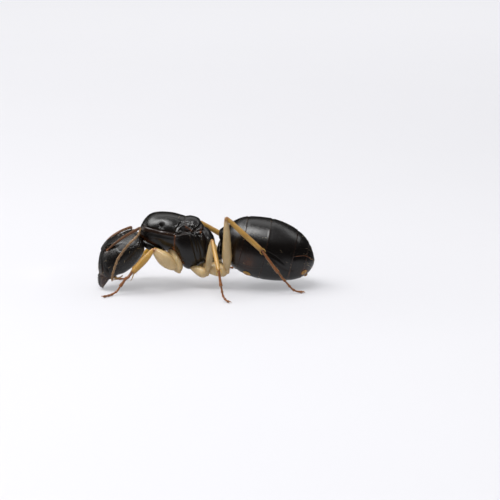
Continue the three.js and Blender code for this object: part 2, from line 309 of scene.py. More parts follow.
# ---- The animal's own sizes, in millimetres ----

def tilt(pitch, yaw=0):
    """A turn nose down by the pitch, then round by the yaw, in degrees."""
    down = Matrix.Rotation(math.radians(pitch), 3, "Y")
    return Matrix.Rotation(math.radians(yaw), 3, "Z") @ down


# Own frame of the head: X from its back to the face, +Y its left, +Z its crown.
HEAD = {
    "turn": tilt(47, 195),
    "top": [[0, 0.66], [0.24, 0.82], [0.7, 1.06], [1.2, 1.32], [1.8, 1.44], [2.4, 1.36], [3.0, 1.02],
            [3.62, 0.5]],
    "bottom": [[0, -0.1], [0.3, -0.42], [0.7, -0.62], [1.2, -0.74], [1.85, -0.74], [2.6, -0.58],
               [3.1, -0.34], [3.62, 0.1]],
    "side": [[0, 0.6], [0.25, 1.12], [0.7, 1.42], [1.4, 1.57], [2.2, 1.5], [2.9, 1.3], [3.4, 1.02],
             [3.62, 0.72]],
}
# Own frame of the thorax: the row's axes.
THORAX = {
    "top": [[-4.3, 3.95], [-4.12, 4.35], [-3.7, 4.82], [-3.1, 5.0], [-2.2, 4.96], [-1.34, 4.75],
            [-0.95, 4.76], [-0.46, 4.58], [-0.12, 4.07], [0.2, 3.85], [0.5, 3.38], [0.6, 2.95]],
    "bottom": [[-4.3, 3.3], [-3.7, 2.9], [-2.8, 2.52], [-2.2, 2.4], [-1.9, 2.15], [-1.6, 1.52],
               [-1.3, 1.25], [-1.0, 1.2], [-0.65, 1.33], [-0.3, 1.58], [0.15, 1.85], [0.6, 2.5]],
    "side": [[-4.3, 0.5], [-4.0, 0.95], [-3.3, 1.3], [-2.4, 1.4], [-1.4, 1.3], [-0.6, 1.1],
             [0.1, 0.92], [0.45, 0.72], [0.6, 0.45]],
}
GASTER = {
    "turn": tilt(12.9),
    "top": [[0, 0.35], [0.25, 1.1], [0.8, 1.72], [1.6, 2.08], [3.1, 2.24], [4.4, 2.02], [5.4, 1.5],
            [6.0, 0.8], [6.3, 0.2]],
    "bottom": [[0, -0.25], [0.4, -0.75], [1.1, -1.4], [2.1, -1.72], [3.2, -1.8], [4.6, -1.6],
               [5.6, -1.2], [6.1, -0.7], [6.3, -0.2]],
    "side": [[0, 0.4], [0.4, 1.05], [1.2, 1.65], [2.4, 1.95], [3.4, 1.98], [4.6, 1.72], [5.6, 1.2],
             [6.1, 0.65], [6.3, 0.2]],
}
THORAX_NODES = ("mesoscutum", "scutellum", "pronotum", "propodeum", "mesopleuron")
GASTER_NODES = tuple(f"gaster_{i}" for i in range(1, 6))

head = Loft(HEAD, ["head"])
thorax = Loft(THORAX, THORAX_NODES)
gaster = Loft(GASTER, GASTER_NODES)


# ---- Settings a user may change ----

def colour(name, description, value):
    """A colour setting."""
    return bpy.props.FloatVectorProperty(
        name=name, description=description, default=value, subtype="COLOR", min=0, max=1
    )


def size(name, description, value):
    """A length setting, kept in metres."""
    return bpy.props.FloatProperty(
        name=name, description=description, default=value * MM, unit="LENGTH", min=0, precision=6
    )


class ANT_PG_colours(bpy.types.PropertyGroup):
    """Colours of the cuticle and the stage."""

    shell: colour("Shell", "Body plates", (0.0034, 0.0023, 0.0018))
    margin: colour("Margin", "Thin rims of the body plates", (0.25, 0.075, 0.016))
    eye: colour("Eye", "Compound eyes and ocelli", (0.085, 0.083, 0.082))
    jaw: colour("Jaw", "Mandibles", (0.03, 0.014, 0.011))
    feeler: colour("Feeler", "First joints of the antennae", (0.108, 0.04, 0.012))
    lash: colour("Lash", "Lashes of the antennae", (0.2, 0.11, 0.046))
    thigh: colour("Thigh", "Coxae and femora", (0.56, 0.41, 0.21))
    shin: colour("Shin", "Tibiae", (0.44, 0.245, 0.05))
    # painted light: a deeper yellow copy of Shin for the one shin that is lit through
    lit_through_shin: colour("Thin shin", "The tibia that light passes through", (0.46, 0.235, 0.015))
    foot: colour("Foot", "Tarsi and claws", (0.22, 0.07, 0.015))
    hair: colour("Hair", "Standing hairs", (0.62, 0.47, 0.26))
    down: colour("Down", "Short hairs that lie on the body", (0.022, 0.015, 0.01))
    floor: colour("Floor", "Stage floor", (0.345, 0.342, 0.356))


class ANT_PG_sizes(bpy.types.PropertyGroup):
    """Lengths of the fine parts that the solids thicken or leave out."""

    scape: size("Scape radius", "Half the thickness of each antenna's first joint", 0.085)
    lash: size("Lash radius", "Half the thickness of each antenna's lash", 0.083)
    toe: size("Tarsus radius", "Half the thickness of each foot", 0.08)
    shell: size("Shell thickness", "Thickness of the body plates", 0.06)
    hair: size("Hair length", "Length of the standing hairs on the body", 0.3)
    hair_root: size("Hair root", "Half the thickness of a standing hair at its root", 0.008)


def colours():
    """The colour settings."""
    return bpy.context.scene.ant_colours


def sizes():
    """The size settings, each read in millimetres."""
    return {name: getattr(bpy.context.scene.ant_sizes, name) / MM
            for name in ANT_PG_sizes.__annotations__}


# ---- Materials ----

class Nodes:
    """Shorthand for building a node tree."""

    def __init__(self, tree):
        self.tree = tree

    def add(self, kind, values=(), **settings):
        """A node with its settings; values go to input sockets, by name or number."""
        node = self.tree.nodes.new(kind)
        for name, value in settings.items():
            setattr(node, name, value)
        for key, value in dict(values).items():
            if isinstance(value, bpy.types.NodeSocket):
                self.tree.links.new(value, node.inputs[key])
            else:
                node.inputs[key].default_value = value
        return node

    def math(self, operation, a, b=0.0, clamp=False):
        """The result of one calculation."""
        node = self.add("ShaderNodeMath", {0: a, 1: b}, operation=operation, use_clamp=clamp)
        return node.outputs[0]

    def mix(self, share, a, b):
        """A colour between two."""
        return self.add("ShaderNodeMix", {0: share, 6: a, 7: b}, data_type="RGBA").outputs[2]

    def spread(self, value, low, high, to_low=0.0, to_high=1.0):
        """A value moved smoothly from one range to another."""
        node = self.add(
            "ShaderNodeMapRange", {0: value, 1: low, 2: high, 3: to_low, 4: to_high},
            interpolation_type="SMOOTHSTEP",
        )
        return node.outputs[0]


def group(name, inputs, outputs):
    """A new node group with its sockets, its Nodes and its two ends."""
    tree = bpy.data.node_groups.new(name, "ShaderNodeTree")
    for label, kind, value in inputs:
        socket = tree.interface.new_socket(label, in_out="INPUT", socket_type=kind)
        if value is not None:
            socket.default_value = value
    for label, kind in outputs:
        tree.interface.new_socket(label, in_out="OUTPUT", socket_type=kind)
    nodes = Nodes(tree)
    start = nodes.add("NodeGroupInput")
    end = nodes.add("NodeGroupOutput")
    return tree, nodes, start.outputs, end.inputs


FLOAT, COLOUR, VECTOR = "NodeSocketFloat", "NodeSocketColor", "NodeSocketVector"


def make_relief_group():
    """Cuticle relief: a net of cells, sparse pits where hairs stand, and slow swells."""
    inputs = [
        ("Place", VECTOR, None), ("Cell", FLOAT, 0.03), ("Net", FLOAT, 0.3),
        ("Pit Spacing", FLOAT, 0.2), ("Pit", FLOAT, 0.5), ("Swell", FLOAT, 0.5),
    ]
    outputs = [("Height", FLOAT), ("Fine", FLOAT), ("Cloud", FLOAT)]
    tree, n, given, out = group("Cuticle Relief", inputs, outputs)
    per_cell = n.math("DIVIDE", 1.0, given["Cell"])
    net = n.add("ShaderNodeTexVoronoi", {"Vector": given["Place"], "Scale": per_cell},
                feature="DISTANCE_TO_EDGE")
    ridge = n.spread(net.outputs["Distance"], 0.02, 0.2)
    per_pit = n.math("DIVIDE", 1.0, given["Pit Spacing"])
    pits = n.add("ShaderNodeTexVoronoi", {"Vector": given["Place"], "Scale": per_pit})
    hollow = n.spread(pits.outputs["Distance"], 0.05, 0.2, 1.0, 0.0)
    slow = n.add("ShaderNodeTexNoise", {"Vector": given["Place"], "Scale": 1.6, "Detail": 3.0})
    grain = n.add("ShaderNodeTexNoise", {"Vector": given["Place"], "Scale": 14.0, "Detail": 4.0})
    height = n.math("MULTIPLY", ridge, given["Net"])
    height = n.math("SUBTRACT", height, n.math("MULTIPLY", hollow, given["Pit"]))
    swell = n.math("MULTIPLY", slow.outputs[0], given["Swell"])
    height = n.math("ADD", height, swell)
    n.tree.links.new(height, out["Height"])
    n.tree.links.new(grain.outputs[0], out["Fine"])
    n.tree.links.new(slow.outputs[0], out["Cloud"])
    return tree


def make_rim_group():
    """Thin cuticle along the rims: the colour goes from the body's to the rim's, broken by noise."""
    inputs = [("Body", COLOUR, None), ("Rim", COLOUR, None), ("Mask", FLOAT, 0.0),
              ("Break", FLOAT, 0.5)]
    tree, n, given, out = group("Thin Rim", inputs, [("Color", COLOUR), ("Rim", FLOAT)])
    broken = n.spread(given["Break"], 0.3, 0.7, 0.55, 1.15)
    share = n.math("MULTIPLY", given["Mask"], broken, clamp=True)
    n.tree.links.new(n.mix(share, given["Body"], given["Rim"]), out["Color"])
    n.tree.links.new(share, out["Rim"])
    return tree


def shared(name, make):
    """The shared group of that name, built once."""
    return bpy.data.node_groups.get(name) or make()


def cuticle(name, body, rim, rough, relief, bump=0.004, soft=0.0, edge=None):
    """A cuticle material: `rim` colours the mask "rim", and the mask "shade" darkens: dark joints, and
    painted shade over whole limbs, at the hips' upper ends and along the gaster plates' edges.
    `soft` lets light in, and `edge` is the colour of painted shade on the mask "edge", along a
    limb's front and back where it turns away from the view."""
    material = bpy.data.materials.new(name)
    material.use_nodes = True
    n = Nodes(material.node_tree)
    shader = n.tree.nodes["Principled BSDF"]
    place = n.add("ShaderNodeTexCoord").outputs["Object"]
    scaled = n.add("ShaderNodeVectorMath", {0: place, 1: (1 / MM,) * 3}, operation="MULTIPLY")
    detail = n.add("ShaderNodeGroup", node_tree=shared("Cuticle Relief", make_relief_group))
    n.tree.links.new(scaled.outputs[0], detail.inputs["Place"])
    for key, value in relief.items():
        detail.inputs[key].default_value = value
    masks = {key: n.add("ShaderNodeAttribute", attribute_name=key).outputs["Fac"]
             for key in ("rim", "shade")}
    thin = n.add("ShaderNodeGroup", node_tree=shared("Thin Rim", make_rim_group))
    thin.inputs["Body"].default_value = (*body, 1)
    thin.inputs["Rim"].default_value = (*rim, 1)
    n.tree.links.new(masks["rim"], thin.inputs["Mask"])
    n.tree.links.new(detail.outputs["Fine"], thin.inputs["Break"])
    dark = n.math("MULTIPLY", masks["shade"], 0.75)
    cloud = n.spread(detail.outputs["Cloud"], 0.3, 0.7, 0.0, 0.22)
    darkened = n.mix(n.math("ADD", dark, cloud, clamp=True), thin.outputs["Color"],
                     (*[c * 0.25 for c in body], 1))
    # painted shade: a limb's outline takes the edge colour
    if edge:
        painted_edge_shade = n.add("ShaderNodeAttribute", attribute_name="edge").outputs["Fac"]
        darkened = n.mix(painted_edge_shade, darkened, (*edge, 1))
    n.tree.links.new(darkened, shader.inputs["Base Color"])
    uneven = n.spread(detail.outputs["Fine"], 0.25, 0.75, rough * 0.82, rough * 1.22)
    n.tree.links.new(uneven, shader.inputs["Roughness"])
    raised = n.add("ShaderNodeBump", {"Strength": 1.0, "Distance": bump * MM,
                                      "Height": detail.outputs["Height"]})
    n.tree.links.new(raised.outputs[0], shader.inputs["Normal"])
    if soft:
        shader.inputs["Subsurface Weight"].default_value = soft
        shader.inputs["Subsurface Radius"].default_value = (1.0, 0.6, 0.3)
        shader.inputs["Subsurface Scale"].default_value = 0.15 * MM
    return material


def finish_of(name):
    """The material of that name, made when it is first asked for."""
    if name in bpy.data.materials:
        return bpy.data.materials[name]
    c = colours()
    body_relief = {"Cell": 0.028, "Net": 0.2, "Pit Spacing": 0.24, "Pit": 0.9, "Swell": 2.0}
    face_relief = {"Cell": 0.03, "Net": 0.4, "Pit Spacing": 0.21, "Pit": 1.6, "Swell": 3.0}
    limb_relief = {"Cell": 0.03, "Net": 0.12, "Pit Spacing": 0.11, "Pit": 0.5, "Swell": 2.0}
    hair_relief = {"Cell": 0.02, "Net": 0.2, "Pit": 0.0, "Swell": 0.0}
    limb = dict(rim=c.foot, relief=limb_relief)
    hair = dict(rim=c.foot, rough=0.45, bump=0.0005, relief=hair_relief)
    rules = {
        "body_shell": dict(body=c.shell, rim=c.margin, rough=0.22, relief=body_relief),
        "face_shell": dict(body=c.shell, rim=c.margin, rough=0.28, relief=face_relief),
        "jaw_shell": dict(body=c.jaw, rim=c.shell, rough=0.3, relief=limb_relief),
        "feeler_shell": dict(body=c.feeler, rim=c.margin, rough=0.38, relief=limb_relief),
        "lash_shell": dict(body=c.lash, rim=c.margin, rough=0.45, relief=limb_relief),
        # edge: the colour of the painted shade on each limb's outline
        "thigh_shell": dict(body=c.thigh, rough=0.3, soft=0.25, edge=c.shin, **limb),
        "lit_through_shin_shell": dict(body=c.lit_through_shin, rough=0.4, soft=0.15, edge=c.foot, **limb),
        "shin_shell": dict(body=c.shin, rough=0.34, soft=0.15, edge=c.foot, **limb),
        "foot_shell": dict(body=c.foot, rim=c.margin, rough=0.4, relief=limb_relief),
        "palp_shell": dict(body=c.shin, rough=0.4, **limb),
        "eye_lens": dict(body=c.eye, rim=c.shell, rough=0.3,
                         relief={"Cell": 0.024, "Net": 1.0, "Pit": 0.0, "Swell": 0.0}),
        "hair": dict(body=c.hair, **hair),
        "dark_hair": dict(body=c.down, **hair),
    }
    return cuticle(name, **rules[name])


BUILT = {}  # every piece's shape by name, for the hairs that stand on it


def make_piece(name, shape, finish, nodes=()):
    """A piece of the animal from a shape in millimetres, in place of the solids named in `nodes`."""
    mesh = bpy.data.meshes.new(name)
    mesh.from_pydata((shape.points * MM).tolist(), [], shape.faces)
    for mask in ("rim", "shade", "edge"):
        values = np.clip(shape.mask(mask), 0, 1).astype(np.float32)
        mesh.attributes.new(mask, "FLOAT", "POINT").data.foreach_set("value", values)
    mesh.polygons.foreach_set("use_smooth", [True] * len(mesh.polygons))
    mesh.materials.append(finish_of(finish))
    obj = bpy.data.objects.new(name, mesh)
    bpy.context.scene.collection.objects.link(obj)
    if nodes:
        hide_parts(*nodes)
    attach(obj, BODY)
    BUILT[name] = shape
    return obj


# ---- Head ----

SOCKET = (2.2, 0.5)  # where each antenna starts on the face: along, out
THROAT_DROP = 0.1  # how far the throat and lower cheeks bulge below the head's solid
EYE_RADII = (0.3, 0.22, 0.26)
EYE_LEAN = 43  # how far each eye leans out from the crown, in degrees
OCELLI = ((0.98, 0.0), (0.74, 0.2), (0.74, -0.2))  # the three simple eyes: along, out
OCELLUS_RADII = (0.075, 0.07, 0.075)
# Hollows of the face as lines of along and out, with their depth and width: one that runs up
# beside each ridge from its socket, and a shallow one further out.
FACE_HOLLOWS = (
    ([[2.1, 0.5], [1.85, 0.56], [1.6, 0.66]], 0.09, 0.09),
    ([[2.3, 0.62], [1.95, 0.82], [1.55, 1.02]], 0.05, 0.12),
)


def face_height(along_head, out):
    """Height of the head's crown side at a place on the face."""
    top, bottom, side = head.top(along_head), head.bottom(along_head), head.side(along_head)
    bend = np.sqrt(np.clip(1 - (out / side) ** 2, 0.02, 1))
    return (top + bottom) / 2 + (top - bottom) / 2 * bend


def on_face(along_head, out, lift=0.0):
    """A point of the face in the row frame."""
    return head.world(np.array([along_head, out, face_height(along_head, out) + lift]))


def head_relief(p):
    """The head's relief over its plain form, and its masks of thin cuticle and of rows of hairs."""
    u, v, w = p.T
    out = np.abs(v)
    upper = ease(w, 0.3, 0.75)
    height = np.zeros(len(p))
    # the clypeus, a raised shield that widens to the mouth, with a low keel
    half = 0.3 + 0.42 * ease(u, 2.45, 3.5)
    inside = ease(half - out, -0.05, 0.05) * ease(u, 2.42, 2.55) * upper
    height += 0.05 * inside + 0.03 * inside * bell(v, 0.12)
    rim_line = bell(out - half, 0.05) * ease(u, 2.45, 2.6) * upper
    height -= 0.035 * rim_line
    height -= 0.03 * bell(u - 2.46, 0.05) * bell(v, 0.3) * upper
    # frontal ridges beside the sockets, the line between them, and the sockets' pits
    ridge = 0.36 + 0.34 * ease(2.15 - u, 0, 0.85)
    lobes = bell(out - ridge, 0.07) * ease(u, 1.25, 1.7) * ease(2.55 - u, 0, 0.25) * upper
    height += 0.11 * lobes
    height -= 0.02 * bell(v, 0.025) * ease(u, 1.3, 1.6) * ease(2.4 - u, 0, 0.2) * upper
    socket = np.hypot((u - SOCKET[0]) * 0.8, out - SOCKET[1] - 0.06)
    height -= 0.16 * bell(socket, 0.13) * upper
    for line, depth, width in FACE_HOLLOWS:
        height -= depth * bell(line_distance(np.stack([u, out], 1), line), width) * upper
    # the rim round each eye
    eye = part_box("eye_left")
    eye_at = head.turn.T @ (np.array((eye[0] + eye[1]) / 2) / MM - head.origin)
    gap = np.linalg.norm(np.stack([(u - eye_at[0]) / 1.25, out - abs(eye_at[1]), w - eye_at[2]], 1),
                         axis=1)
    height += 0.008 * bell(gap - 0.33, 0.05) - 0.025 * bell(gap - 0.25, 0.06)
    # seams: on the cheek before the jaw, along the middle of the throat, and round the neck
    height -= 0.03 * bell(u - 3.28 + 0.25 * ease(w, 0.1, 0.7), 0.04) * ease(out, 0.75, 0.95)
    height -= 0.03 * bell(v, 0.05) * ease(-w, 0.2, 0.4) * ease(3.0 - u, 0, 0.4)
    height -= 0.05 * bell(u - 0.1, 0.06)
    rim = 0.2 * bell(u - 3.57, 0.05) + 0.1 * rim_line * ease(u, 3.0, 3.4)
    rim += 0.08 * bell(u - 3.3, 0.05) * ease(out, 0.7, 0.95)
    rim += 0.25 * bell(socket, 0.12) * upper
    rows = 14 * bell(u - 3.46, 0.06) * ease(0.9 - out, 0, 0.1) * ease(w, 0.0, 0.2)
    rows += 3 * inside + 2 * bell(u - 0.7, 0.4) * upper + 1.5 * ease(-w, 0.3, 0.5)
    return height, rim, rows


class ANT_OT_head(bpy.types.Operator):
    """Head capsule with its clypeus, frontal ridges and sockets, the compound eyes and ocelli"""

    bl_idname = "ant.head"
    bl_label = "Head and Eyes"

    def execute(self, context):
        shape = head.whole(rings=170, sides=168)
        height, shape.masks["rim"], shape.masks["row"] = head_relief(shape.points)
        shape.raise_by(height)
        ahead, below = shape.points[:, 0], -shape.points[:, 2]
        lower = ease(below, 0.1, 0.6)
        shape.points[:, 2] -= THROAT_DROP * lower * ease(ahead, 0.1, 0.6) * ease(3.0 - ahead, 0, 0.5)
        make_piece("head_capsule", head.placed(shape), "face_shell", ["head"])
        for side, hand in HANDS.items():
            low, high = (np.array(c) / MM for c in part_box("eye_" + side))
            lean = Matrix.Rotation(math.radians(hand * EYE_LEAN), 3, "X")
            turn = head.turn @ np.array(lean)
            lens = blob((low + high) / 2, EYE_RADII, turn, sides=72, rings=48)
            make_piece("eye_lens_" + side, lens, "eye_lens", ["eye_" + side])
        domes = [blob(on_face(u, v, -0.03), OCELLUS_RADII, head.turn) for u, v in OCELLI]
        make_piece("ocelli", joined(domes), "eye_lens")
        return {"FINISHED"}


# ---- Jaws and mouthparts, in the head's own frame ----

JAW_OUTER = [[3.1, 1.0, 0.16], [3.45, 0.84, -0.02], [3.85, 0.62, -0.13], [4.12, 0.36, -0.24],
             [4.27, 0.12, -0.36]]
JAW_INNER = [[3.3, 0.35, 0.38], [3.62, 0.14, 0.42], [3.85, 0.12, 0.34], [4.08, 0.12, 0.15],
             [4.22, 0.12, -0.1], [4.27, 0.1, -0.36]]
TEETH = 6


def make_jaw(hand):
    """One jaw: a bent triangular blade with a row of teeth along its inner edge."""
    shares = (1 - np.cos(np.linspace(0, math.pi, 120))) / 2
    outer = along(spline(JAW_OUTER), shares)
    inner = along(spline(JAW_INNER), shares)
    # teeth grow along the cutting edge, longer to the tip
    bite = np.clip((shares - 0.34) / 0.62, 0, 1)
    saw = np.abs(((bite * TEETH) % 1) - 0.35)
    tooth = np.where((shares > 0.34) & (shares < 0.96), (0.09 + 0.06 * bite) * (1 - saw / 0.65), 0)
    edge = unit(inner - outer)
    across = unit(np.cross(np.gradient((inner + outer) / 2, axis=0), edge))
    thick = np.interp(shares, [0, 0.1, 0.4, 0.8, 1], [0.0, 0.2, 0.16, 0.08, 0.0])
    angle = np.linspace(0, TURN, 36, endpoint=False)
    reach = (1 - np.cos(angle)) / 2
    points = outer[:, None] + (inner - outer)[:, None] * reach[None, :, None]
    bulge = np.sin(angle)[None, :] * np.where(np.sin(angle) > 0, 0.6, 1.3)[None, :]
    thin = 1 - 0.6 * reach[None, :] * ease(shares, 0.3, 0.6)[:, None]
    points = points + across[:, None] * (bulge * thin * thick[:, None])[..., None]
    out = (0.4 * edge + np.array([0.25, 0, 0.75])) * tooth[:, None]
    points = points + out[:, None] * ease(reach, 0.72, 0.97)[None, :, None]
    points = points * [1, hand, 1] + [0, 0, -0.04 if hand < 0 else 0.0]
    if hand > 0:
        points = points[:, ::-1]
    rim = 0.95 * ease(reach, 0.55, 0.7)[None, :] * ease(shares, 0.25, 0.35)[:, None]
    return head.placed(wrapped(points, rim=rim))


class ANT_OT_mouth(bpy.types.Operator):
    """Toothed jaws, the mouthparts between them and the jointed palps"""

    bl_idname = "ant.mouth"
    bl_label = "Jaws and Palps"

    def execute(self, context):
        for side, hand in HANDS.items():
            make_piece("jaw_" + side, make_jaw(hand), "jaw_shell", ["mandible_" + side])
        lobes = [
            tube(head.world(np.array([[2.7, s * 0.12, -0.3], [3.1, s * 0.14, -0.26],
                                      [3.5, s * 0.12, -0.12]])),
                 [[0, 0], [0.06, 0.12], [0.5, 0.19], [0.9, 0.14], [1, 0]], flat=0.9)
            for s in (1, -1)
        ]
        lobes.append(tube(head.world(np.array([[2.9, 0, -0.38], [3.35, 0, -0.28], [3.7, 0, -0.12]])),
                          [[0, 0], [0.08, 0.08], [0.5, 0.12], [0.9, 0.08], [1, 0]], flat=1.5))
        labrum = tube(head.world(np.array([[3.35, 0, 0.1], [3.6, 0, 0.06], [3.74, 0, -0.05]])),
                      [[0, 0], [0.1, 0.1], [0.6, 0.12], [1, 0]], flat=3.2)
        parts = joined([*lobes, labrum])
        make_piece("mouth_parts", parts, "jaw_shell", ["mouthparts"])
        joints = []
        for s in (1, -1):
            outer = [[3.25, 0.3 * s, -0.26], [3.18, 0.48 * s, -0.42], [3.04, 0.56 * s, -0.54],
                     [2.9, 0.58 * s, -0.6], [2.76, 0.58 * s, -0.64]]
            inner = [[3.45, 0.1 * s, -0.26], [3.42, 0.18 * s, -0.44], [3.28, 0.2 * s, -0.56],
                     [3.1, 0.2 * s, -0.6]]
            for course, count, wide in ((outer, 5, 0.042), (inner, 4, 0.034)):
                joints += jointed(head.world(np.array(course)), count, wide)
        make_piece("palps", joined(joints), "palp_shell")
        return {"FINISHED"}


def jointed(line, count, radius):
    """Short joints one after another along a line, each a little narrower where it starts."""
    line = spline(line)
    ends = np.linspace(0, 1, count + 1)
    form = [[0, 0], [0.06, 0.62], [0.3, 0.8], [0.75, 1.0], [0.95, 0.85], [1, 0]]
    scaled = [[s, r * radius] for s, r in form]
    return [
        tube(along(line, np.linspace(max(a - 0.01, 0), b, 12)), scaled, sides=12, rings=14)
        for a, b in zip(ends[:-1], ends[1:])
    ]


# ---- Thorax, in the row's axes before it is seated ----

# Plates of the back in turn: planes as x, z and the direction in degrees that points into the plate.
PLATES = {
    "mesoscutum": [(-2.85, 4.03, 79.3), (-1.34, 4.8, 184)],
    "scutellum": [(-1.34, 4.8, 4), (-0.8, 3.95, 88), (-0.1, 4.0, 200)],
    "pronotum": [(-1.979, 3.7, 176)],
    "propodeum": [(-0.1, 3.4, 8)],
}
# Folds of the flank as side-view lines with their height, negative for grooves, and their width.
# First the hinges of the shed wings, then the seams of the plates below them.
SCAR_FOLDS = (
    ([[-1.95, 3.9], [-1.9, 4.03], [-1.78, 4.24], [-1.64, 4.38]], -0.065, 0.07),
    ([[-1.7, 4.33], [-1.55, 4.47], [-1.42, 4.58]], -0.03, 0.05),
    ([[-1.86, 3.92], [-1.8, 4.08], [-1.66, 4.2], [-1.5, 4.27]], 0.05, 0.05),
    ([[-1.52, 4.27], [-1.3, 4.23], [-1.05, 4.09], [-0.88, 3.96]], 0.09, 0.055),
    ([[-1.6, 4.1], [-1.38, 4.06], [-1.02, 3.89]], -0.1, 0.045),
    ([[-1.78, 3.93], [-1.45, 3.88], [-1.2, 3.84]], 0.03, 0.08),
    ([[-1.52, 4.45], [-1.3, 4.42], [-1.15, 4.4]], -0.045, 0.07),
    ([[-1.14, 4.48], [-1.1, 4.3], [-0.94, 4.24], [-0.82, 4.34], [-0.84, 4.48]], 0.028, 0.04),
    ([[-0.98, 4.42], [-0.95, 4.36]], -0.045, 0.05),
    ([[-0.64, 4.02], [-0.48, 4.14], [-0.34, 4.22]], -0.12, 0.06),
    ([[-0.8, 3.96], [-0.68, 3.84]], -0.12, 0.05),
    ([[-0.3, 4.02], [-0.26, 3.96]], 0.09, 0.1),
    ([[-0.34, 3.84], [-0.31, 3.83]], 0.05, 0.035),
    ([[-0.44, 3.92], [-0.42, 3.7], [-0.3, 3.62]], -0.05, 0.035),
    ([[-0.72, 3.78], [-0.56, 3.68], [-0.5, 3.5]], -0.05, 0.03),
)
GROOVES = (
    ([[-1.92, 3.76], [-1.6, 3.84], [-1.25, 3.82], [-0.9, 3.8], [-0.6, 3.62]], -0.055, 0.04),
    ([[-1.86, 3.58], [-1.6, 3.73], [-1.25, 3.74], [-0.98, 3.66]], 0.035, 0.06),
    ([[-0.98, 3.64], [-0.86, 3.3], [-0.72, 2.7], [-0.5, 1.6]], -0.06, 0.06),
    ([[-0.72, 3.6], [-0.62, 3.3], [-0.5, 2.6]], -0.03, 0.04),
    ([[-0.55, 3.6], [-0.42, 3.1], [-0.3, 2.5], [-0.2, 1.7]], -0.045, 0.05),
    ([[-0.2, 3.9], [-0.04, 3.3], [0.02, 2.6], [0.0, 1.9]], -0.07, 0.055),
    ([[-1.9, 2.5], [-1.5, 2.1], [-1.0, 1.75], [-0.5, 1.75]], -0.02, 0.05),
)
COLLAR_EDGE = [[-4.4, 3.46], [-4.13, 3.2], [-3.5, 2.96], [-3.0, 2.7], [-2.5, 2.56], [-2.05, 2.64]]


def thorax_relief(p, seam):
    """Height of the thorax's relief and its mask of thin cuticle; seam is the way to a plate's rim."""
    x, y, z = p.T
    out = np.abs(y)
    view = np.stack([x, z], axis=1)
    side = ease(out, 0.35, 0.7)
    # the plates' seams, faint under the plate of the back and gone behind the wing hinges
    front = ease(-1.85 - x, 0, 0.1)
    behind = bell(x + 1.34, 0.25) * ease(4.62 - z, 0, 0.12)
    soft = 1 - 0.6 * bell(x + 1.34, 0.25)
    height = -(0.055 - 0.04 * front) * (1 - behind) * soft * bell(seam, 0.055)
    shoulder = ease(out, 0.15, 0.4)
    for folds, where in ((SCAR_FOLDS, shoulder), (GROOVES, side)):
        for line, rise, width in folds:
            height += rise * bell(line_distance(view, line), width) * where
    crumple = bell((x + 1.1) / 0.8, 1.0) * bell((z - 4.05) / 0.35, 1.0) * shoulder
    height += 0.006 * crumple * np.sin(31 * x + 9 * z) * np.sin(37 * z - 13 * x + 1.0)
    # the collar flares at its lower edge, and the plate below it is set in
    collar = line_distance(view, COLLAR_EDGE)
    edge_at = np.interp(x, *np.array(COLLAR_EDGE).T)
    under = ease(edge_at - z, 0.0, 0.08) * ease(-2.0 - x, 0, 0.1)
    height += 0.035 * bell(collar, 0.09) * (1 - under) * ease(-2.0 - x, 0, 0.1) - 0.07 * under
    # the two short lines and the faint middle line of the back
    back = ease(z, 4.2, 4.45)
    height -= 0.016 * bell(out - 0.72, 0.022) * ease(x, -2.75, -2.5) * ease(-1.5 - x, 0, 0.2) * back
    height -= 0.010 * bell(y, 0.02) * ease(-3.0 - x, 0, 0.2) * back
    # the hollow on each side where the wings were shed
    height -= 0.07 * bell((x + 1.2) / 0.75, 1.0) * bell(z - 4.05, 0.2) * shoulder
    # a dimple on each side of the back, steeper above
    rise = z - 4.3 - 0.25 * (x + 2.87)
    dent = np.exp(-(((x + 2.85) / 0.2) ** 2) - (rise / np.where(rise > 0, 0.22, 0.34)) ** 2)
    height -= 0.11 * dent * side
    # the cross groove at the rear of the back
    height -= 0.03 * bell(x + 0.33, 0.05) * ease(z, 3.5, 3.8)
    # the flat brown band under the plate of the back
    at_x, at_z, inward = PLATES["mesoscutum"][0]
    inward = math.radians(inward)
    drop = -((x - at_x) * math.cos(inward) + (z - at_z) * math.sin(inward))
    wide = 0.26 + 0.08 * ease(-3.4 - x, 0, 0.6)
    band = ease(drop, 0.0, 0.05) * ease(wide - drop, 0, 0.05) * ease(-1.75 - x, 0, 0.15) * side
    height += 0.035 * np.clip(drop / wide, 0, 1) * band
    height -= 0.01 * bell(drop - wide - 0.1, 0.07) * ease(-1.95 - x, 0, 0.1) * side
    rim = 0.04 * bell(seam, 0.06) * ease(out, 0.4, 0.8) + 0.045 * band
    rim += 0.5 * bell(collar, 0.07) * ease(-1.9 - x, 0, 0.15) * side
    rim += 0.35 * bell(collar - 0.12, 0.17) * ease(-3.0 - x, 0, 0.5) * side
    # thin cuticle between the front flank and the next, and down that one's front edge
    rim += 0.4 * bell(x + 2.0 - 0.07 * (z - 3.4), 0.05) * ease(3.8 - z, 0, 0.1) * side
    rim += 0.7 * bell(x + 2.0 - 0.57 * (2.68 - z), 0.065) * ease(3.0 - z, 0, 0.2) * ease(z, 1.5, 1.9)
    # the tan crest of the hinge and the amber spot behind it
    crest = line_distance(view, [[-1.3, 4.21], [-1.08, 4.1], [-0.9, 3.97]])
    rim += 0.3 * bell(crest, 0.04) * shoulder
    spot = np.hypot(x + 0.33, z - 3.84)
    rim += bell(spot, 0.045) * shoulder + 0.12 * bell(np.hypot(x + 0.27, z - 3.98), 0.1)
    return height, rim


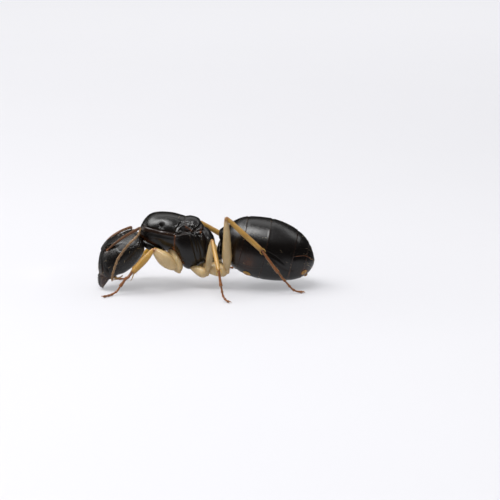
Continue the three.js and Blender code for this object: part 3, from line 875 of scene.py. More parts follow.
def split_thorax(shape):
    """The thorax's surface parted into its plates, with the way from each point to a plate's rim."""
    mesh = bmesh.new()
    points = [mesh.verts.new(p) for p in shape.points]
    for face in shape.faces:
        mesh.faces.new([points[i] for i in face])
    sides = {
        name: [(Vector((x, 0, z)), Vector((math.cos(math.radians(a)), 0, math.sin(math.radians(a)))))
               for x, z, a in planes]
        for name, planes in PLATES.items()
    }
    for planes in sides.values():
        for point, inward in planes:
            everything = mesh.verts[:] + mesh.edges[:] + mesh.faces[:]
            bmesh.ops.bisect_plane(mesh, geom=everything, dist=0.004, plane_co=point, plane_no=inward)
    mesh.faces.index_update()
    mesh.verts.index_update()
    owner = []
    for face in mesh.faces:
        middle = face.calc_center_median()
        homes = [n for n, planes in sides.items() if all((middle - p).dot(d) > 0 for p, d in planes)]
        owner.append(homes[0] if homes else "mesopleuron")
    rim = {v for e in mesh.edges if len({owner[f.index] for f in e.link_faces}) > 1 for v in e.verts}
    finder = KDTree(len(rim))
    for i, vert in enumerate(rim):
        finder.insert(vert.co, i)
    finder.balance()
    places = np.array([v.co[:] for v in mesh.verts])
    seam = np.array([finder.find(v.co)[2] for v in mesh.verts])
    faces = [[v.index for v in f.verts] for f in mesh.faces]
    mesh.free()
    return Shape(places, faces, thorax.unwrap(places)), seam, owner


def part_of(shape, chosen):
    """The shape's chosen faces as a shape of their own."""
    used = sorted({i for face in chosen for i in face})
    place = {old: new for new, old in enumerate(used)}
    faces = [[place[i] for i in face] for face in chosen]
    masks = {name: values[used] for name, values in shape.masks.items()}
    return Shape(shape.points[used], faces, shape.unwrap[used], **masks)


class ANT_OT_thorax(bpy.types.Operator):
    """Thorax plates with their sutures and wing scars, the neck plates and the waist scale"""

    bl_idname = "ant.thorax"
    bl_label = "Thorax and Waist"

    def execute(self, context):
        whole, seam, owner = split_thorax(thorax.whole(rings=300, sides=240))
        height, rim = thorax_relief(whole.points, seam)
        whole.raise_by(height)
        whole.masks["rim"] = rim
        for plate in THORAX_NODES:
            part = part_of(whole, [f for f, home in zip(whole.faces, owner) if home == plate])
            part = thorax.placed(part.thickened(sizes()["shell"]))
            make_piece(plate + "_plate", part, "body_shell", [plate])
        for side, hand in HANDS.items():
            neck = tube(
                thorax.world(np.array([[-4.2, -hand * 0.4, 3.2], [-3.75, -hand * 0.6, 2.96],
                                       [-3.2, -hand * 0.68, 2.7], [-2.6, -hand * 0.66, 2.66]])),
                [[0, 0], [0.1, 0.2], [0.45, 0.3], [0.8, 0.2], [1, 0]], sides=28, rings=36, flat=1.1,
            )
            make_piece("neck_plate_" + side, neck, "body_shell")
        breast = blob(thorax.world(np.array([-2.12, 0, 2.5])), (0.55, 0.78, 0.34), tilt(28), rim=0.25)
        make_piece("breast_plate", breast, "body_shell")
        make_piece("waist", self.waist(), "body_shell", ["petiole"])
        return {"FINISHED"}

    def waist(self):
        """The waist: an upright scale on a short stalk."""
        low, high = (np.array(c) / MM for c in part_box("petiole"))
        middle = (low + high) / 2
        scale = tube(
            np.array([[middle[0] + 0.02, middle[1], low[2] + 0.1], [middle[0] + 0.03, middle[1], middle[2]],
                      [middle[0] + 0.12, middle[1], high[2] - 0.02]]),
            [[0, 0], [0.08, 0.16], [0.35, 0.19], [0.75, 0.13], [0.93, 0.075], [1, 0]],
            sides=40, rings=40, up=(0, 1, 0),
        )
        spread = scale.points[:, 1] - middle[1]
        rise = (scale.points[:, 2] - low[2]) / (high[2] - low[2])
        scale.points[:, 1] = middle[1] + spread * (1.6 + 2.2 * ease(rise, 0.1, 0.55))
        stalk = tube(
            np.array([[middle[0] - 0.5, middle[1], low[2] + 0.3], [middle[0], middle[1], low[2] + 0.28],
                      [middle[0] + 0.45, middle[1], low[2] + 0.42]]),
            [[0, 0], [0.1, 0.2], [0.5, 0.25], [0.9, 0.22], [1, 0]], sides=32, rings=30, flat=1.3,
        )
        return joined([scale, stalk])


# ---- Gaster, in its own frame ----

# Each segment: where it starts and ends, and how far round its upper plate reaches in degrees.
SEGMENTS = [
    (0.0, 1.37, [[0, 112], [0.97, 124], [1.4, 127]]),
    (1.37, 2.92, [[1.3, 127], [2.2, 124], [2.95, 116]]),
    (2.92, 4.75, [[2.8, 80], [3.8, 90], [4.8, 108]]),
    (4.75, 5.65, [[4.6, 84], [5.14, 76], [5.7, 66]]),
    (5.65, 6.3, [[5.5, 68], [6.3, 60]]),
]
TUCK = 0.16  # how far a plate reaches under the one before it
LAP = 0.05  # how far it reaches over the next one
SUNK = 0.03  # how much lower a tucked edge lies
STEP = 0.045  # how much more the third segment dips on its flanks
OVERLAP = 0.2  # how far round a lower plate reaches inside the upper one, in radians
PLATE_DEPTH = 0.03
PAINTED_BROWN_SHEEN = 0.2  # how strong the painted brown sheen low on the thin front plates is


def segment_plate(index, upper):
    """The upper or the lower plate of one segment of the gaster, as a closed shell."""
    start, end, reach = SEGMENTS[index]
    first, last = index == 0, index == len(SEGMENTS) - 1
    low = start if first else start - TUCK
    high = end if last else end + LAP
    rows, columns = 60, 130 if upper else 90
    along_x = low + (high - low) * np.linspace(0, 1, rows)
    if first or last:
        share = np.linspace(gaster.share_at(low), gaster.share_at(high), rows)
        along_x = gaster.x_at(np.clip(share, 0.004, 0.996))
    limit = np.radians(outline(reach)(along_x))
    if upper:
        angle = limit[:, None] * np.linspace(-1, 1, columns)[None]
        margin = limit[:, None] - np.abs(angle)
    else:
        around = math.pi - (limit - OVERLAP)
        angle = math.pi + around[:, None] * np.linspace(-1, 1, columns)[None]
        margin = around[:, None] - np.abs(angle - math.pi)
    girth = gaster.side(along_x)[:, None]
    edge = margin * girth
    x = along_x[:, None] + 0 * angle
    lift = 0.0 * x
    flank = ease(np.abs(np.sin(angle)), 0.35, 0.7)
    if not first:
        lift = lift - SUNK * (1 - ease(x, start + LAP * 0.6, start + 0.3))
    if index == 2 and upper:
        dip = ease(x, start - 0.05, start + 0.3) * (1 - ease(x, start + 0.4, start + 1.7))
        lift = lift - STEP * flank * dip
    if not upper:
        deep = SUNK + 0.04 * ease(x, 2.9, 3.5) * (1 - ease(x, 4.2, 4.55))
        inside = OVERLAP * girth
        lift = lift - deep * (1 - ease(edge, inside + 0.02, inside + 0.25))
    rear = high - x if not last else 9 + 0 * x
    lift = lift + (0.008 + 0.016 * flank) * bell(rear, 0.14) + (0.012 * bell(edge, 0.1) if upper else 0)
    # the thin rear rim, and a faint line before it
    lift = lift - 0.02 * bell(rear, 0.02) - 0.006 * bell(rear - 0.16, 0.03)
    under = np.degrees(np.abs(math.pi - np.abs(angle)))
    if upper:
        rim = 0.13 * bell(rear, 0.04) + (0.06 + 0.5 * ease(x, 4.75, 5.1)) * bell(edge, 0.035)
    else:
        rim = 0.14 * bell(rear, 0.05)
        if index == 2:
            rim = rim + 0.7 * bell(rear, 0.03) * bell(under - 58, 12)
    # a painted brown sheen on the thin plates low at the front, and amber at the vent
    rim = rim + PAINTED_BROWN_SHEEN * bell(x - 2.0, 0.42) * bell(under - 64, 17)
    rim = rim + 0.3 * PAINTED_BROWN_SHEEN * bell(x - 1.1, 0.5) * bell(under - 70, 22)
    rim = rim + 0.6 * bell(x - 5.76, 0.2) * bell(under - 57, 13)
    points = gaster.surface(along_x[:, None], angle, lift)
    # painted shade: a dark line along each plate's side edge, where the gap beside it lies in shadow
    shade = 0.8 * bell(edge, 0.06) * ease(4.8 - x, 0, 0.2)
    row = 9 * bell(rear - 0.1, 0.035) * ease(x, 0.4, 0.8) + 3 * ease(x, 5.2, 6)
    shape = sheet_of(points, gaster.unwrap(points), rim=rim, shade=shade, row=row)
    shape.faces = [f[::-1] for f in shape.faces]
    return shape.thickened(PLATE_DEPTH)


class ANT_OT_gaster(bpy.types.Operator):
    """Gaster of five segments, each an upper plate lapped over the next and over its lower plate"""

    bl_idname = "ant.gaster"
    bl_label = "Gaster"

    def execute(self, context):
        for i, node in enumerate(GASTER_NODES):
            for upper, kind in ((True, "upper_plate"), (False, "lower_plate")):
                shape = gaster.placed(segment_plate(i, upper))
                nodes = [node] if upper else []
                make_piece(f"{kind}_{i + 1}", shape, "body_shell", nodes)
        x = np.linspace(0.02, 6.2, 30)
        core = tube(
            gaster.world(np.stack([x, 0 * x, (gaster.top(x) + gaster.bottom(x)) / 2], 1)),
            lambda s: np.maximum(gaster.side(0.02 + 6.18 * s) - 0.16, 0.02), sides=40, rings=50,
        )
        make_piece("fold_skin", core, "body_shell")
        tip = gaster.world(np.array([[5.5, 0, -0.6], [5.82, 0, -0.8], [6.05, 0, -0.96]]))
        vent = tube(tip, [[0, 0], [0.1, 0.26], [0.6, 0.2], [0.92, 0.13], [1, 0]], sides=28, rings=30,
                    rim=lambda s, a: 0.5 * (1 + np.sin(9 * a)) + 0 * s)
        fringe = self.scale(5.76, 57, (0.25, 0.19, 0.06),
                            rim=lambda p: 0.5 + 0.5 * np.sin(34 * p[:, 0] + 10 * p[:, 2]))
        from_middle = lambda p: np.linalg.norm(p - p.mean(0), axis=1)
        flap = self.scale(2.12, 29, (0.27, 0.3, 0.07),
                          rim=lambda p: 0.75 * (1 - ease(from_middle(p), 0.13, 0.2)))
        make_piece("vent", joined([vent, fringe]), "palp_shell")
        make_piece("belly_flap", flap, "palp_shell")
        return {"FINISHED"}

    def scale(self, x, under, radii, rim):
        """A small flat scale on the near flank: its place along, its angle from below, its radii."""
        angle = math.radians(under - 180)
        here, ahead, beside = (gaster.surface(np.array(a), np.array(b)) for a, b in
                               ((x, angle), (x + 0.05, angle), (x, angle + 0.02)))
        along_body, around = unit(ahead - here), unit(beside - here)
        out = np.cross(along_body, around)
        turn = Matrix(np.stack([along_body, around, out], axis=1).tolist())
        shape = blob(here, radii, turn)
        shape.masks["rim"] = rim(shape.points)
        return gaster.placed(shape)


# ---- Limbs: their lines come from the solids ----

LIMB_SEED = 5


def cloud_of(node, count=5000):
    """Points spread evenly over a node's surface, in millimetres."""
    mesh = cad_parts[node].data
    mesh.calc_loop_triangles()
    corners = np.array([[mesh.vertices[i].co[:] for i in t.vertices] for t in mesh.loop_triangles]) / MM
    area = np.linalg.norm(np.cross(corners[:, 1] - corners[:, 0], corners[:, 2] - corners[:, 0]), axis=1)
    rng = np.random.default_rng(LIMB_SEED)
    chosen = corners[rng.choice(len(area), count, p=area / area.sum())]
    a, b = rng.random((2, count, 1))
    fold = (a + b) > 1
    a, b = np.where(fold, 1 - a, a), np.where(fold, 1 - b, b)
    return chosen[:, 0] + a * (chosen[:, 1] - chosen[:, 0]) + b * (chosen[:, 2] - chosen[:, 0])


def straight_ends(node, near, start_round, end_round):
    """The two ends of a straight limb's middle line, the one nearer `near` first."""
    points = cloud_of(node)
    middle = points.mean(axis=0)
    way = np.linalg.svd(points - middle, full_matrices=False)[2][0]
    if (near - middle) @ way > 0:
        way = -way
    reach = (points - middle) @ way
    return middle + way * (reach.min() + start_round), middle + way * (reach.max() - end_round)


def course(node, near, step=0.08, width=0.25):
    """The middle line of a bent limb's solid, from its end nearer `near` to the other."""
    points = cloud_of(node)
    here = points[np.argsort(np.linalg.norm(points - near, axis=1))[:60]].mean(axis=0)
    close = points[np.linalg.norm(points - here, axis=1) < 3.2 * width]
    way = unit(close.mean(axis=0) - here)
    line = []
    for _ in range(400):
        rise = (points - here) @ way
        off = points - here - rise[:, None] * way
        band = (np.abs(rise) < 0.05) & (np.linalg.norm(off, axis=1) < 2.2 * width)
        if band.sum() < 6:
            break
        here = here + off[band].mean(axis=0)
        line.append(here)
        if len(line) > 3:
            way = unit(0.5 * way + 0.5 * unit(line[-1] - line[-4]))
        here = here + way * step
    line = np.array(line)
    smooth = line.copy()
    for _ in range(3):
        smooth[1:-1] = (smooth[:-2] + 2 * smooth[1:-1] + smooth[2:]) / 4
    return smooth


def trimmed(line, start=0.0, end=0.0):
    """The line with lengths cut from its two ends."""
    total = length_of(line)
    return along(line, np.linspace(start / total, 1 - end / total, 60))


CAD_ROUND = 0.25  # radius of the solids' thin limbs
SHAFT_CUT = 0.35  # length left off each shaft's solid, where the line to its socket takes over
LASH_JOINTS = 11
# How far each antenna runs off the middle of its thick solids.
ANTENNA_NUDGE = {"left": np.array([0.17, 0, -0.1]), "right": np.array([0, 0, -0.06])}
ELBOW_LIFT = 0.13  # how much higher the near antenna's elbow sits than its solid's


class ANT_OT_antennae(bpy.types.Operator):
    """Antennae: a long bent first joint from the face, then a lash of eleven joints"""

    bl_idname = "ant.antennae"
    bl_label = "Antennae"

    def execute(self, context):
        s = sizes()
        for side, hand in HANDS.items():
            root = on_face(SOCKET[0] + 0.02, hand * (SOCKET[1] + 0.08), -0.04)
            shaft = course("scape_" + side, root)
            lower = trimmed(shaft, SHAFT_CUT, CAD_ROUND)
            share = np.linspace(0, 1, len(lower))[:, None]
            lower = lower + ANTENNA_NUDGE[side] * share**0.4
            if hand > 0:
                lower = lower + np.array([0, 0, ELBOW_LIFT]) * ease(share, 0.6, 1.0)
            elbow = lower[-1]
            line = spline(np.vstack([root, along(lower, [0.12, 0.45, 0.8, 1.0])]), 80)
            form = [[0, 0], [0.015, 0.8], [0.04, 0.95], [0.07, 0.62], [0.14, 0.75], [0.45, 1.0],
                    [0.8, 1.12], [0.95, 1.1], [0.985, 0.8], [1, 0]]
            scape = tube(line, [[t, r * s["scape"]] for t, r in form], sides=24, rings=70,
                         shade=lambda t, a: 0.35 * ease(t, 0.9, 1.0),
                         rim=lambda t, a: 0.7 * ease(0.08 - t, 0, 0.06))
            make_piece("antenna_shaft_" + side, scape, "feeler_shell", ["scape_" + side])
            inner = course("lash_base_" + side, elbow)
            outer = course("lash_tip_" + side, inner[-1])
            lash = np.vstack([elbow, np.vstack([inner[4:-3], outer[3:]]) + ANTENNA_NUDGE[side]])
            lash = trimmed(lash, 0.02, CAD_ROUND - s["lash"])
            joints = self.lash(lash, s["lash"])
            nodes = ["lash_base_" + side, "lash_tip_" + side]
            make_piece("antenna_lash_" + side, joints, "lash_shell", nodes)
        return {"FINISHED"}

    def lash(self, line, radius):
        """The lash: its first joint is the longest, its last tapers to a blunt tip."""
        weights = np.array([1.5] + [1.0] * (LASH_JOINTS - 2) + [1.45])
        ends = np.concatenate([[0], np.cumsum(weights)]) / weights.sum()
        made = []
        for i, (a, b) in enumerate(zip(ends[:-1], ends[1:])):
            last = i == LASH_JOINTS - 1
            form = [[0, 0], [0.03, 0.6], [0.12, 0.7], [0.5, 0.92], [0.85, 1.0], [0.97, 0.85], [1, 0]]
            if last:
                form = [[0, 0], [0.03, 0.65], [0.12, 0.78], [0.45, 0.95], [0.75, 0.8], [0.93, 0.45],
                        [1, 0]]
            wide = radius * (0.82 if i == 0 else 0.92 + 0.1 * math.sin(math.pi * a))
            part = along(line, np.linspace(max(a - 0.008, 0), b, 20))
            made.append(tube(part, [[t, r * wide] for t, r in form], sides=20, rings=24,
                             shade=lambda t, q: 0.55 * ease(0.12 - t, 0, 0.1)))
        return joined(made)


# ---- Legs ----

# Radii along each part in millimetres, as [share, radius].
LEG_FORMS = {
    "front": {
        "coxa": [[0, 0], [0.05, 0.16], [0.3, 0.28], [0.5, 0.36], [0.75, 0.36], [0.92, 0.25], [1, 0]],
        "femur": [[0, 0], [0.03, 0.15], [0.12, 0.3], [0.35, 0.44], [0.55, 0.45], [0.8, 0.31],
                  [0.94, 0.2], [0.985, 0.15], [1, 0]],
        "tibia": [[0, 0], [0.02, 0.1], [0.06, 0.13], [0.16, 0.17], [0.45, 0.235], [0.85, 0.195],
                  [0.97, 0.155], [1, 0]],
    },
    "middle": {
        "coxa": [[0, 0], [0.05, 0.12], [0.3, 0.24], [0.55, 0.32], [0.75, 0.32], [0.92, 0.22], [1, 0]],
        "femur": [[0, 0], [0.03, 0.14], [0.12, 0.2], [0.4, 0.245], [0.7, 0.22], [0.92, 0.15],
                  [0.985, 0.12], [1, 0]],
        "tibia": [[0, 0], [0.02, 0.08], [0.07, 0.1], [0.2, 0.13], [0.55, 0.145], [0.9, 0.135],
                  [0.98, 0.11], [1, 0]],
    },
    "hind": {
        "coxa": [[0, 0], [0.05, 0.24], [0.3, 0.39], [0.5, 0.43], [0.75, 0.4], [0.92, 0.27], [1, 0]],
        "femur": [[0, 0], [0.02, 0.18], [0.08, 0.27], [0.24, 0.36], [0.42, 0.335], [0.62, 0.27],
                  [0.85, 0.195], [0.96, 0.15], [0.99, 0.11], [1, 0]],
        "tibia": [[0, 0], [0.015, 0.09], [0.05, 0.11], [0.15, 0.145], [0.5, 0.175], [0.88, 0.16],
                  [0.98, 0.13], [1, 0]],
    },
}
TROCHANTER_REACH = {"front": 0.16, "middle": 0.12, "hind": 0.07}  # share of the thigh it takes
TOE_SHARES = (0, 0.46, 0.64, 0.77, 0.87, 1.0)  # ends of the five joints of a foot
HIP_ROUND = 0.3  # radius of the solids' hips at their lower ends
KNEE_ROUND = {"front": 0.27, "middle": 0.26, "hind": 0.26}  # radius of the solids' thighs there
# How far joints sit from their solids': the hips' upper and lower ends, the knees and the ankles.
HIP_SHIFT = {"front": (0.26, 0, -0.12), "middle": (0.0, 0, -0.16), "hind": (-0.2, 0, -0.58)}
HIP_END_SHIFT = {"left_middle": (0.14, 0, -0.03), "left_hind": (0.14, 0, -0.03),
                 "right_hind": (-0.2, 0, 0)}
KNEE_SHIFT = {"right_hind": (0.0, 0, -0.11), "left_middle": (0.08, 0, 0.0),
              "right_front": (-0.1, 0, 0.0)}
ANKLE_SHIFT = {"right_front": (-0.2, 0, -0.08), "left_front": (0.05, 0, -0.05)}
STILL = (0, 0, 0)
# How much shorter each shin is than its solid, and each foot.
SHORTER = {"front": (0.28, 0.24), "middle": (0.04, 0.14), "hind": (0.1, 0.0)}
# How much painted shade darkens each thigh and shin as a whole, by pair or by leg.
LEG_SHADE = {"front": (0.0, 0.0), "middle": (0.32, 0.1), "hind": (0.16, 0.3),
             "right_hind": (0.16, 0.0)}
LIT_THROUGH_SHIN = ("right_front", "tibia")  # painted light: light passes through this shin, so it takes a lit copy of the shin colour
FRONT_SPUR, SPUR = 0.62, 0.34  # lengths of a front leg's one spur and of the others' two


def leg_line(name):
    """The joints of a leg and the line of its foot, from the solids."""
    pair = name.split("_")[1]
    high = np.array(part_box("coxa_" + name)[1]) / MM
    body_side = np.array([high[0], thorax.origin[1], high[2] + 1])
    hip_start, hip = straight_ends("coxa_" + name, body_side, 0.05, HIP_ROUND)
    knee = straight_ends("femur_" + name, hip, 0, KNEE_ROUND[pair])[1]
    ankle = straight_ends("tibia_" + name, knee, 0, CAD_ROUND)[1]
    ankle = ankle + np.array(ANKLE_SHIFT.get(name, STILL))
    knee = knee + np.array(KNEE_SHIFT.get(name, STILL))
    hip = hip + np.array(HIP_END_SHIFT.get(name, STILL))
    foot = course("tarsus_" + name, ankle)
    shin_cut, toe_cut = SHORTER[pair]
    foot = trimmed(np.vstack([ankle + unit(knee - ankle) * shin_cut, ankle, foot[4:]]), 0,
                   CAD_ROUND + toe_cut)
    ankle = foot[0]
    return hip_start, hip, hip + (knee - hip) * TROCHANTER_REACH[pair], knee, ankle, foot


def settle(line, radius):
    """The foot's line lowered so that its last joints lie on the floor."""
    low = ease(0.75 - line[:, 2], 0, 0.45)
    line = line.copy()
    line[:, 2] = np.maximum(line[:, 2] - low * (0.2 - radius), radius)
    return line


class ANT_OT_legs(bpy.types.Operator):
    """Six legs: hip, ring, thigh, shin with its spur, and a foot of five joints with two claws"""

    bl_idname = "ant.legs"
    bl_label = "Legs"

    def execute(self, context):
        for name in (f"{side}_{pair}" for side in HANDS for pair in LEG_FORMS):
            self.make_leg(name)
        return {"FINISHED"}

    def make_leg(self, name):
        """All the parts of one leg."""
        pair = name.split("_")[1]
        forms = LEG_FORMS[pair]
        start, hip, ring, knee, ankle, foot = leg_line(name)
        start = start + np.array(HIP_SHIFT[pair])
        # painted shade over the whole thigh and the whole shin
        thigh_shade, shin_shade = LEG_SHADE.get(name, LEG_SHADE[pair])
        toe = sizes()["toe"]
        along_hip, way = unit(hip - start), unit(knee - hip)
        ends = lambda t, a: ease(t, 0.9, 0.98) + 0.6 * ease(0.08 - t, 0, 0.08)
        parts = {
            # painted shade darkens each hip's upper end, where it goes in under the body
            "coxa": tube(np.array([start - along_hip * 0.25, start, hip + along_hip * 0.06]),
                         forms["coxa"], sides=36, rings=44,
                         shade=lambda t, a: 0.6 * ease(0.22 - t, 0, 0.15),
                         rim=lambda t, a: 0.3 * ease(t, 0.9, 1.0) + 0.4 * ease(0.3 - t, 0, 0.2)),
            "trochanter": tube(np.array([hip - way * 0.1, ring + way * 0.1]),
                               [[0, 0], [0.1, 0.11], [0.4, 0.155], [0.75, 0.16], [0.93, 0.12], [1, 0]],
                               sides=28, rings=30, rim=lambda t, a: 0.12 + 0.3 * bell(t - 0.86, 0.07)),
            "femur": tube(np.array([ring - way * 0.06, knee + way * 0.05]), forms["femur"],
                          sides=36, rings=60, flat=0.86, rim=ends,
                          shade=lambda t, a: thigh_shade + 0 * t),
            "tibia": tube(self.bent_shin(knee, ankle, way), forms["tibia"], sides=32, rings=60,
                          rim=lambda t, a: 0.7 * ease(t, 0.9, 0.98) + ease(0.07 - t, 0, 0.04),
                          shade=lambda t, a: shin_shade + 0 * t),
        }
        for part, shape in parts.items():
            # painted shade: where the surface turns away from the view along Y, the outline is coloured
            # deeper
            edge_shade_amount = {"femur": 0.85, "tibia": 0.6}.get(part, 0.35)
            shape.masks["edge"] = edge_shade_amount * ease(1 - np.abs(shape.normals()[:, 1]), 0.5, 0.95)
            finish = "shin_shell" if part == "tibia" else "thigh_shell"
            if (name, part) == LIT_THROUGH_SHIN:
                finish = "lit_through_shin_shell"
            make_piece(f"{part}_cuticle_{name}", shape, finish, [f"{part}_{name}"])
        line = settle(foot, toe * 1.15)
        self.make_foot(name, line, toe)
        self.make_spur(name, knee, ankle, line)

    def bent_shin(self, knee, ankle, way):
        """The shin's line: it leaves the knee along the thigh's bend before it straightens."""
        down = unit(ankle - knee)
        reach = np.linalg.norm(ankle - knee)
        return spline(np.array([knee - down * 0.02, knee + (down + way * 0.35) * 0.1,
                                knee + down * 0.3 * reach, ankle + down * 0.03]), 40)

    def make_foot(self, name, line, toe):
        """Five joints, each flared at its end, and the claws."""
        joints = []
        for i, (a, b) in enumerate(zip(TOE_SHARES[:-1], TOE_SHARES[1:])):
            wide = toe * (1.28 if i == 0 else 1.0)
            form = [[0, 0], [0.04, 0.6], [0.2, 0.7], [0.7, 0.86], [0.93, 1.12], [0.985, 0.9], [1, 0]]
            part = along(line, np.linspace(max(a - 0.006, 0), b, 20))
            joints.append(tube(part, [[t, r * wide] for t, r in form], sides=18, rings=26,
                               shade=lambda t, q: 0.5 * ease(0.1 - t, 0, 0.1) + 0.3 * ease(t, 0.92, 1)))
        tip, ahead = line[-1], unit(line[-1] - line[-6])
        aside = unit(np.cross([0, 0, 1], ahead))
        for hand in (1, -1):
            claw = np.array([[0, 0, 0], [0.07, 0.05 * hand, 0.035], [0.15, 0.1 * hand, 0.02],
                             [0.2, 0.11 * hand, -0.045]])
            points = tip + claw[:, :1] * ahead + claw[:, 1:2] * aside
            points[:, 2] = np.maximum(points[:, 2] + claw[:, 2], 0.032)
            joints.append(tube(spline(points, 24), [[0, 0], [0.05, 0.03], [0.4, 0.026], [0.8, 0.012],
                                                    [1, 0]], sides=10, rings=20))
        joints.append(blob(tip + ahead * 0.05, (0.055, 0.05, 0.034), sides=14, rings=10))
        make_piece(f"foot_cuticle_{name}", joined(joints), "foot_shell", [f"tarsus_{name}"])

    def make_spur(self, name, knee, ankle, foot):
        """The spurs at the shin's end: a long one that hangs down on a front leg, two on the rest."""
        down = unit(ankle - knee)
        inner = unit(foot[18] - ankle)
        aside = unit(np.cross(down, [0.2, 1, 0.1]))
        between = (down + inner) / 2
        front = name.endswith("front")
        bend = unit(between - [0, 0, 0.9]) * FRONT_SPUR if front else between * SPUR
        spurs = []
        for hand in ((1,) if front else (1, -1)):
            lean = aside * hand * (0.05 if front else 0.09)
            base = ankle - down * 0.05 + lean
            under = np.array([0.07, 0, 0]) if front else lean
            points = np.array([base, base + bend * 0.5 + under, base + bend + under * 0.55])
            form = [[0, 0], [0.04, 0.036], [0.5, 0.028], [0.9, 0.012], [1, 0]]
            spurs.append(tube(spline(points, 24), form, sides=12, rings=22))
        make_piece(f"spur_{name}", joined(spurs), "shin_shell")


# ---- Hairs ----

HAIR_SEED = 11
HAIR_SIDES = 3
HAIR_PATCH = 0.003  # how wide one hair's patch is on the skin's unwrap
HAIR_SUNK = 0.006  # how deep a hair's root sits in its skin, in millimetres
HAIR_LOWEST = 0.004  # no hair comes nearer the floor than this, in millimetres
HAIR_RINGS, DOWN_RINGS = 4, 3
DARK_COATS = ("down_head", "down_thorax", "down_gaster")


def roots_on(names, count, rng, rows):
    """Places for hairs on some pieces: points, normals, the way along each piece, and unwrap."""
    tiles = math.ceil(math.sqrt(len(names)))
    corners, slopes, spots, chances = [], [], [], []
    for i, name in enumerate(names):
        shape = BUILT[name]
        faces = np.array([face[:3] for face in shape.faces])
        if "outer" in shape.masks:
            faces = faces[shape.masks["outer"][faces].min(axis=1) > 0.5]
        corners.append(shape.points[faces])
        slopes.append(shape.unwrap[faces][..., 0])
        spots.append((shape.unwrap[faces[:, 0]] + (i % tiles, i // tiles)) / tiles)
        a, b, c = (shape.points[faces[:, k]] for k in range(3))
        area = np.linalg.norm(np.cross(b - a, c - a), axis=1)
        chances.append(area * (1 + rows * shape.mask("row")[faces].mean(axis=1)))
    corners, slopes, spots, chances = map(np.concatenate, (corners, slopes, spots, chances))
    chosen = rng.choice(len(chances), count, p=chances / chances.sum())
    share = rng.random((count, 2))
    share = np.where(share.sum(axis=1, keepdims=True) > 1, 1 - share, share)
    a, b, c = (corners[chosen, k] for k in range(3))
    points = a + share[:, :1] * (b - a) + share[:, 1:] * (c - a)
    normal = np.cross(b - a, c - a)
    rise = slopes[chosen]
    along_piece = (rise[:, :1] * np.cross(normal, c - b) + rise[:, 1:2] * np.cross(normal, a - c)
                   + rise[:, 2:] * np.cross(normal, b - a))
    return points, unit(normal), unit(along_piece + 1e-9), spots[chosen]


def grown(roots, rng, length, radius, lean, rings):
    """Bent, tapering hairs as one shape; `lean` is 0 where they stand and 1 where they lie flat."""
    root, normal, ahead, spot = roots
    count = len(root)
    way = unit(normal * (1 - lean) + ahead * lean + rng.normal(0, 0.12, (count, 3)))
    reach = length * rng.uniform(0.6, 1.3, count)
    t = np.linspace(0, 1, rings)
    bend = way[:, None] * t[None, :, None] + 0.3 * ahead[:, None] * (t**2)[None, :, None]
    centre = (root - normal * HAIR_SUNK)[:, None] + bend * reach[:, None, None]
    aside = unit(np.cross(way, rng.normal(size=(count, 3))))
    above = np.cross(way, aside)
    angle = TURN * np.arange(HAIR_SIDES) / HAIR_SIDES
    ring = aside[:, None] * np.cos(angle)[None, :, None] + above[:, None] * np.sin(angle)[None, :, None]
    points = centre[:, :, None] + ring[:, None] * (radius * (1 - 0.85 * t))[None, :, None, None]
    points[..., 2] = np.maximum(points[..., 2], HAIR_LOWEST)
    one = [[r * HAIR_SIDES + k, r * HAIR_SIDES + (k + 1) % HAIR_SIDES,
            (r + 1) * HAIR_SIDES + (k + 1) % HAIR_SIDES, (r + 1) * HAIR_SIDES + k]
           for r in range(rings - 1) for k in range(HAIR_SIDES)]
    size_of_one = rings * HAIR_SIDES
    starts = (np.arange(count) * size_of_one)[:, None, None]
    faces = (np.array(one)[None] + starts).reshape(-1, 4).tolist()
    ends = [np.arange(HAIR_SIDES)[::-1], np.arange(size_of_one - HAIR_SIDES, size_of_one)]
    faces += (np.array(ends)[None] + starts).reshape(-1, HAIR_SIDES).tolist()
    patch = np.stack(np.meshgrid(t - 0.5, np.linspace(-0.5, 0.5, HAIR_SIDES), indexing="ij"), axis=-1)
    unwrap = spot[:, None, None] + HAIR_PATCH * patch[None]
    return Shape(points.reshape(-1, 3), faces, unwrap.reshape(-1, 2))


def built(*starts):
    """The names of the built pieces that start with one of these."""
    return [name for name in BUILT if name.startswith(starts)]


# Each coat: the pieces it stands on, its slot, how many hairs, their length and root radius as
# shares of the settings, how far they lean, and how strongly they gather in rows.
COATS = {
    "hairs_head": (("head_capsule",), "shell", 80, 0.6, 0.7, 0.25, 1.0),
    "hairs_jaws": (("jaw_",), "jaw", 60, 0.4, 0.6, 0.45, 0.0),
    "hairs_thorax": (("mesoscutum", "scutellum", "pronotum", "propodeum", "waist"), "shell",
                     46, 0.6, 0.6, 0.15, 0.0),
    "hairs_gaster": (("upper_plate", "lower_plate"), "shell", 90, 0.6, 0.5, 0.4, 1.0),
    "hairs_tail": (("upper_plate_5", "lower_plate_5", "vent"), "shell", 40, 0.85, 0.5, 0.3, 0.0),
    "down_head": (("head_capsule",), "shell", 1100, 0.2, 0.35, 0.85, 0.0),
    "down_thorax": (("mesoscutum", "scutellum", "pronotum", "propodeum", "mesopleuron"), "shell",
                    1100, 0.22, 0.35, 0.85, 0.0),
    "down_gaster": (("upper_plate", "lower_plate"), "shell", 2600, 0.3, 0.35, 0.85, 0.0),
    "down_feelers": (("antenna_",), "feeler", 1600, 0.17, 0.35, 0.6, 0.0),
    "down_legs": (("coxa_", "trochanter_", "femur_", "tibia_"), "leg", 4200, 0.26, 0.4, 0.65, 0.0),
    "bristles_legs": (("tibia_", "femur_"), "leg", 420, 0.5, 0.8, 0.5, 0.0),
    "bristles_feet": (("foot_cuticle",), "foot", 1300, 0.24, 0.5, 0.5, 0.0),
}


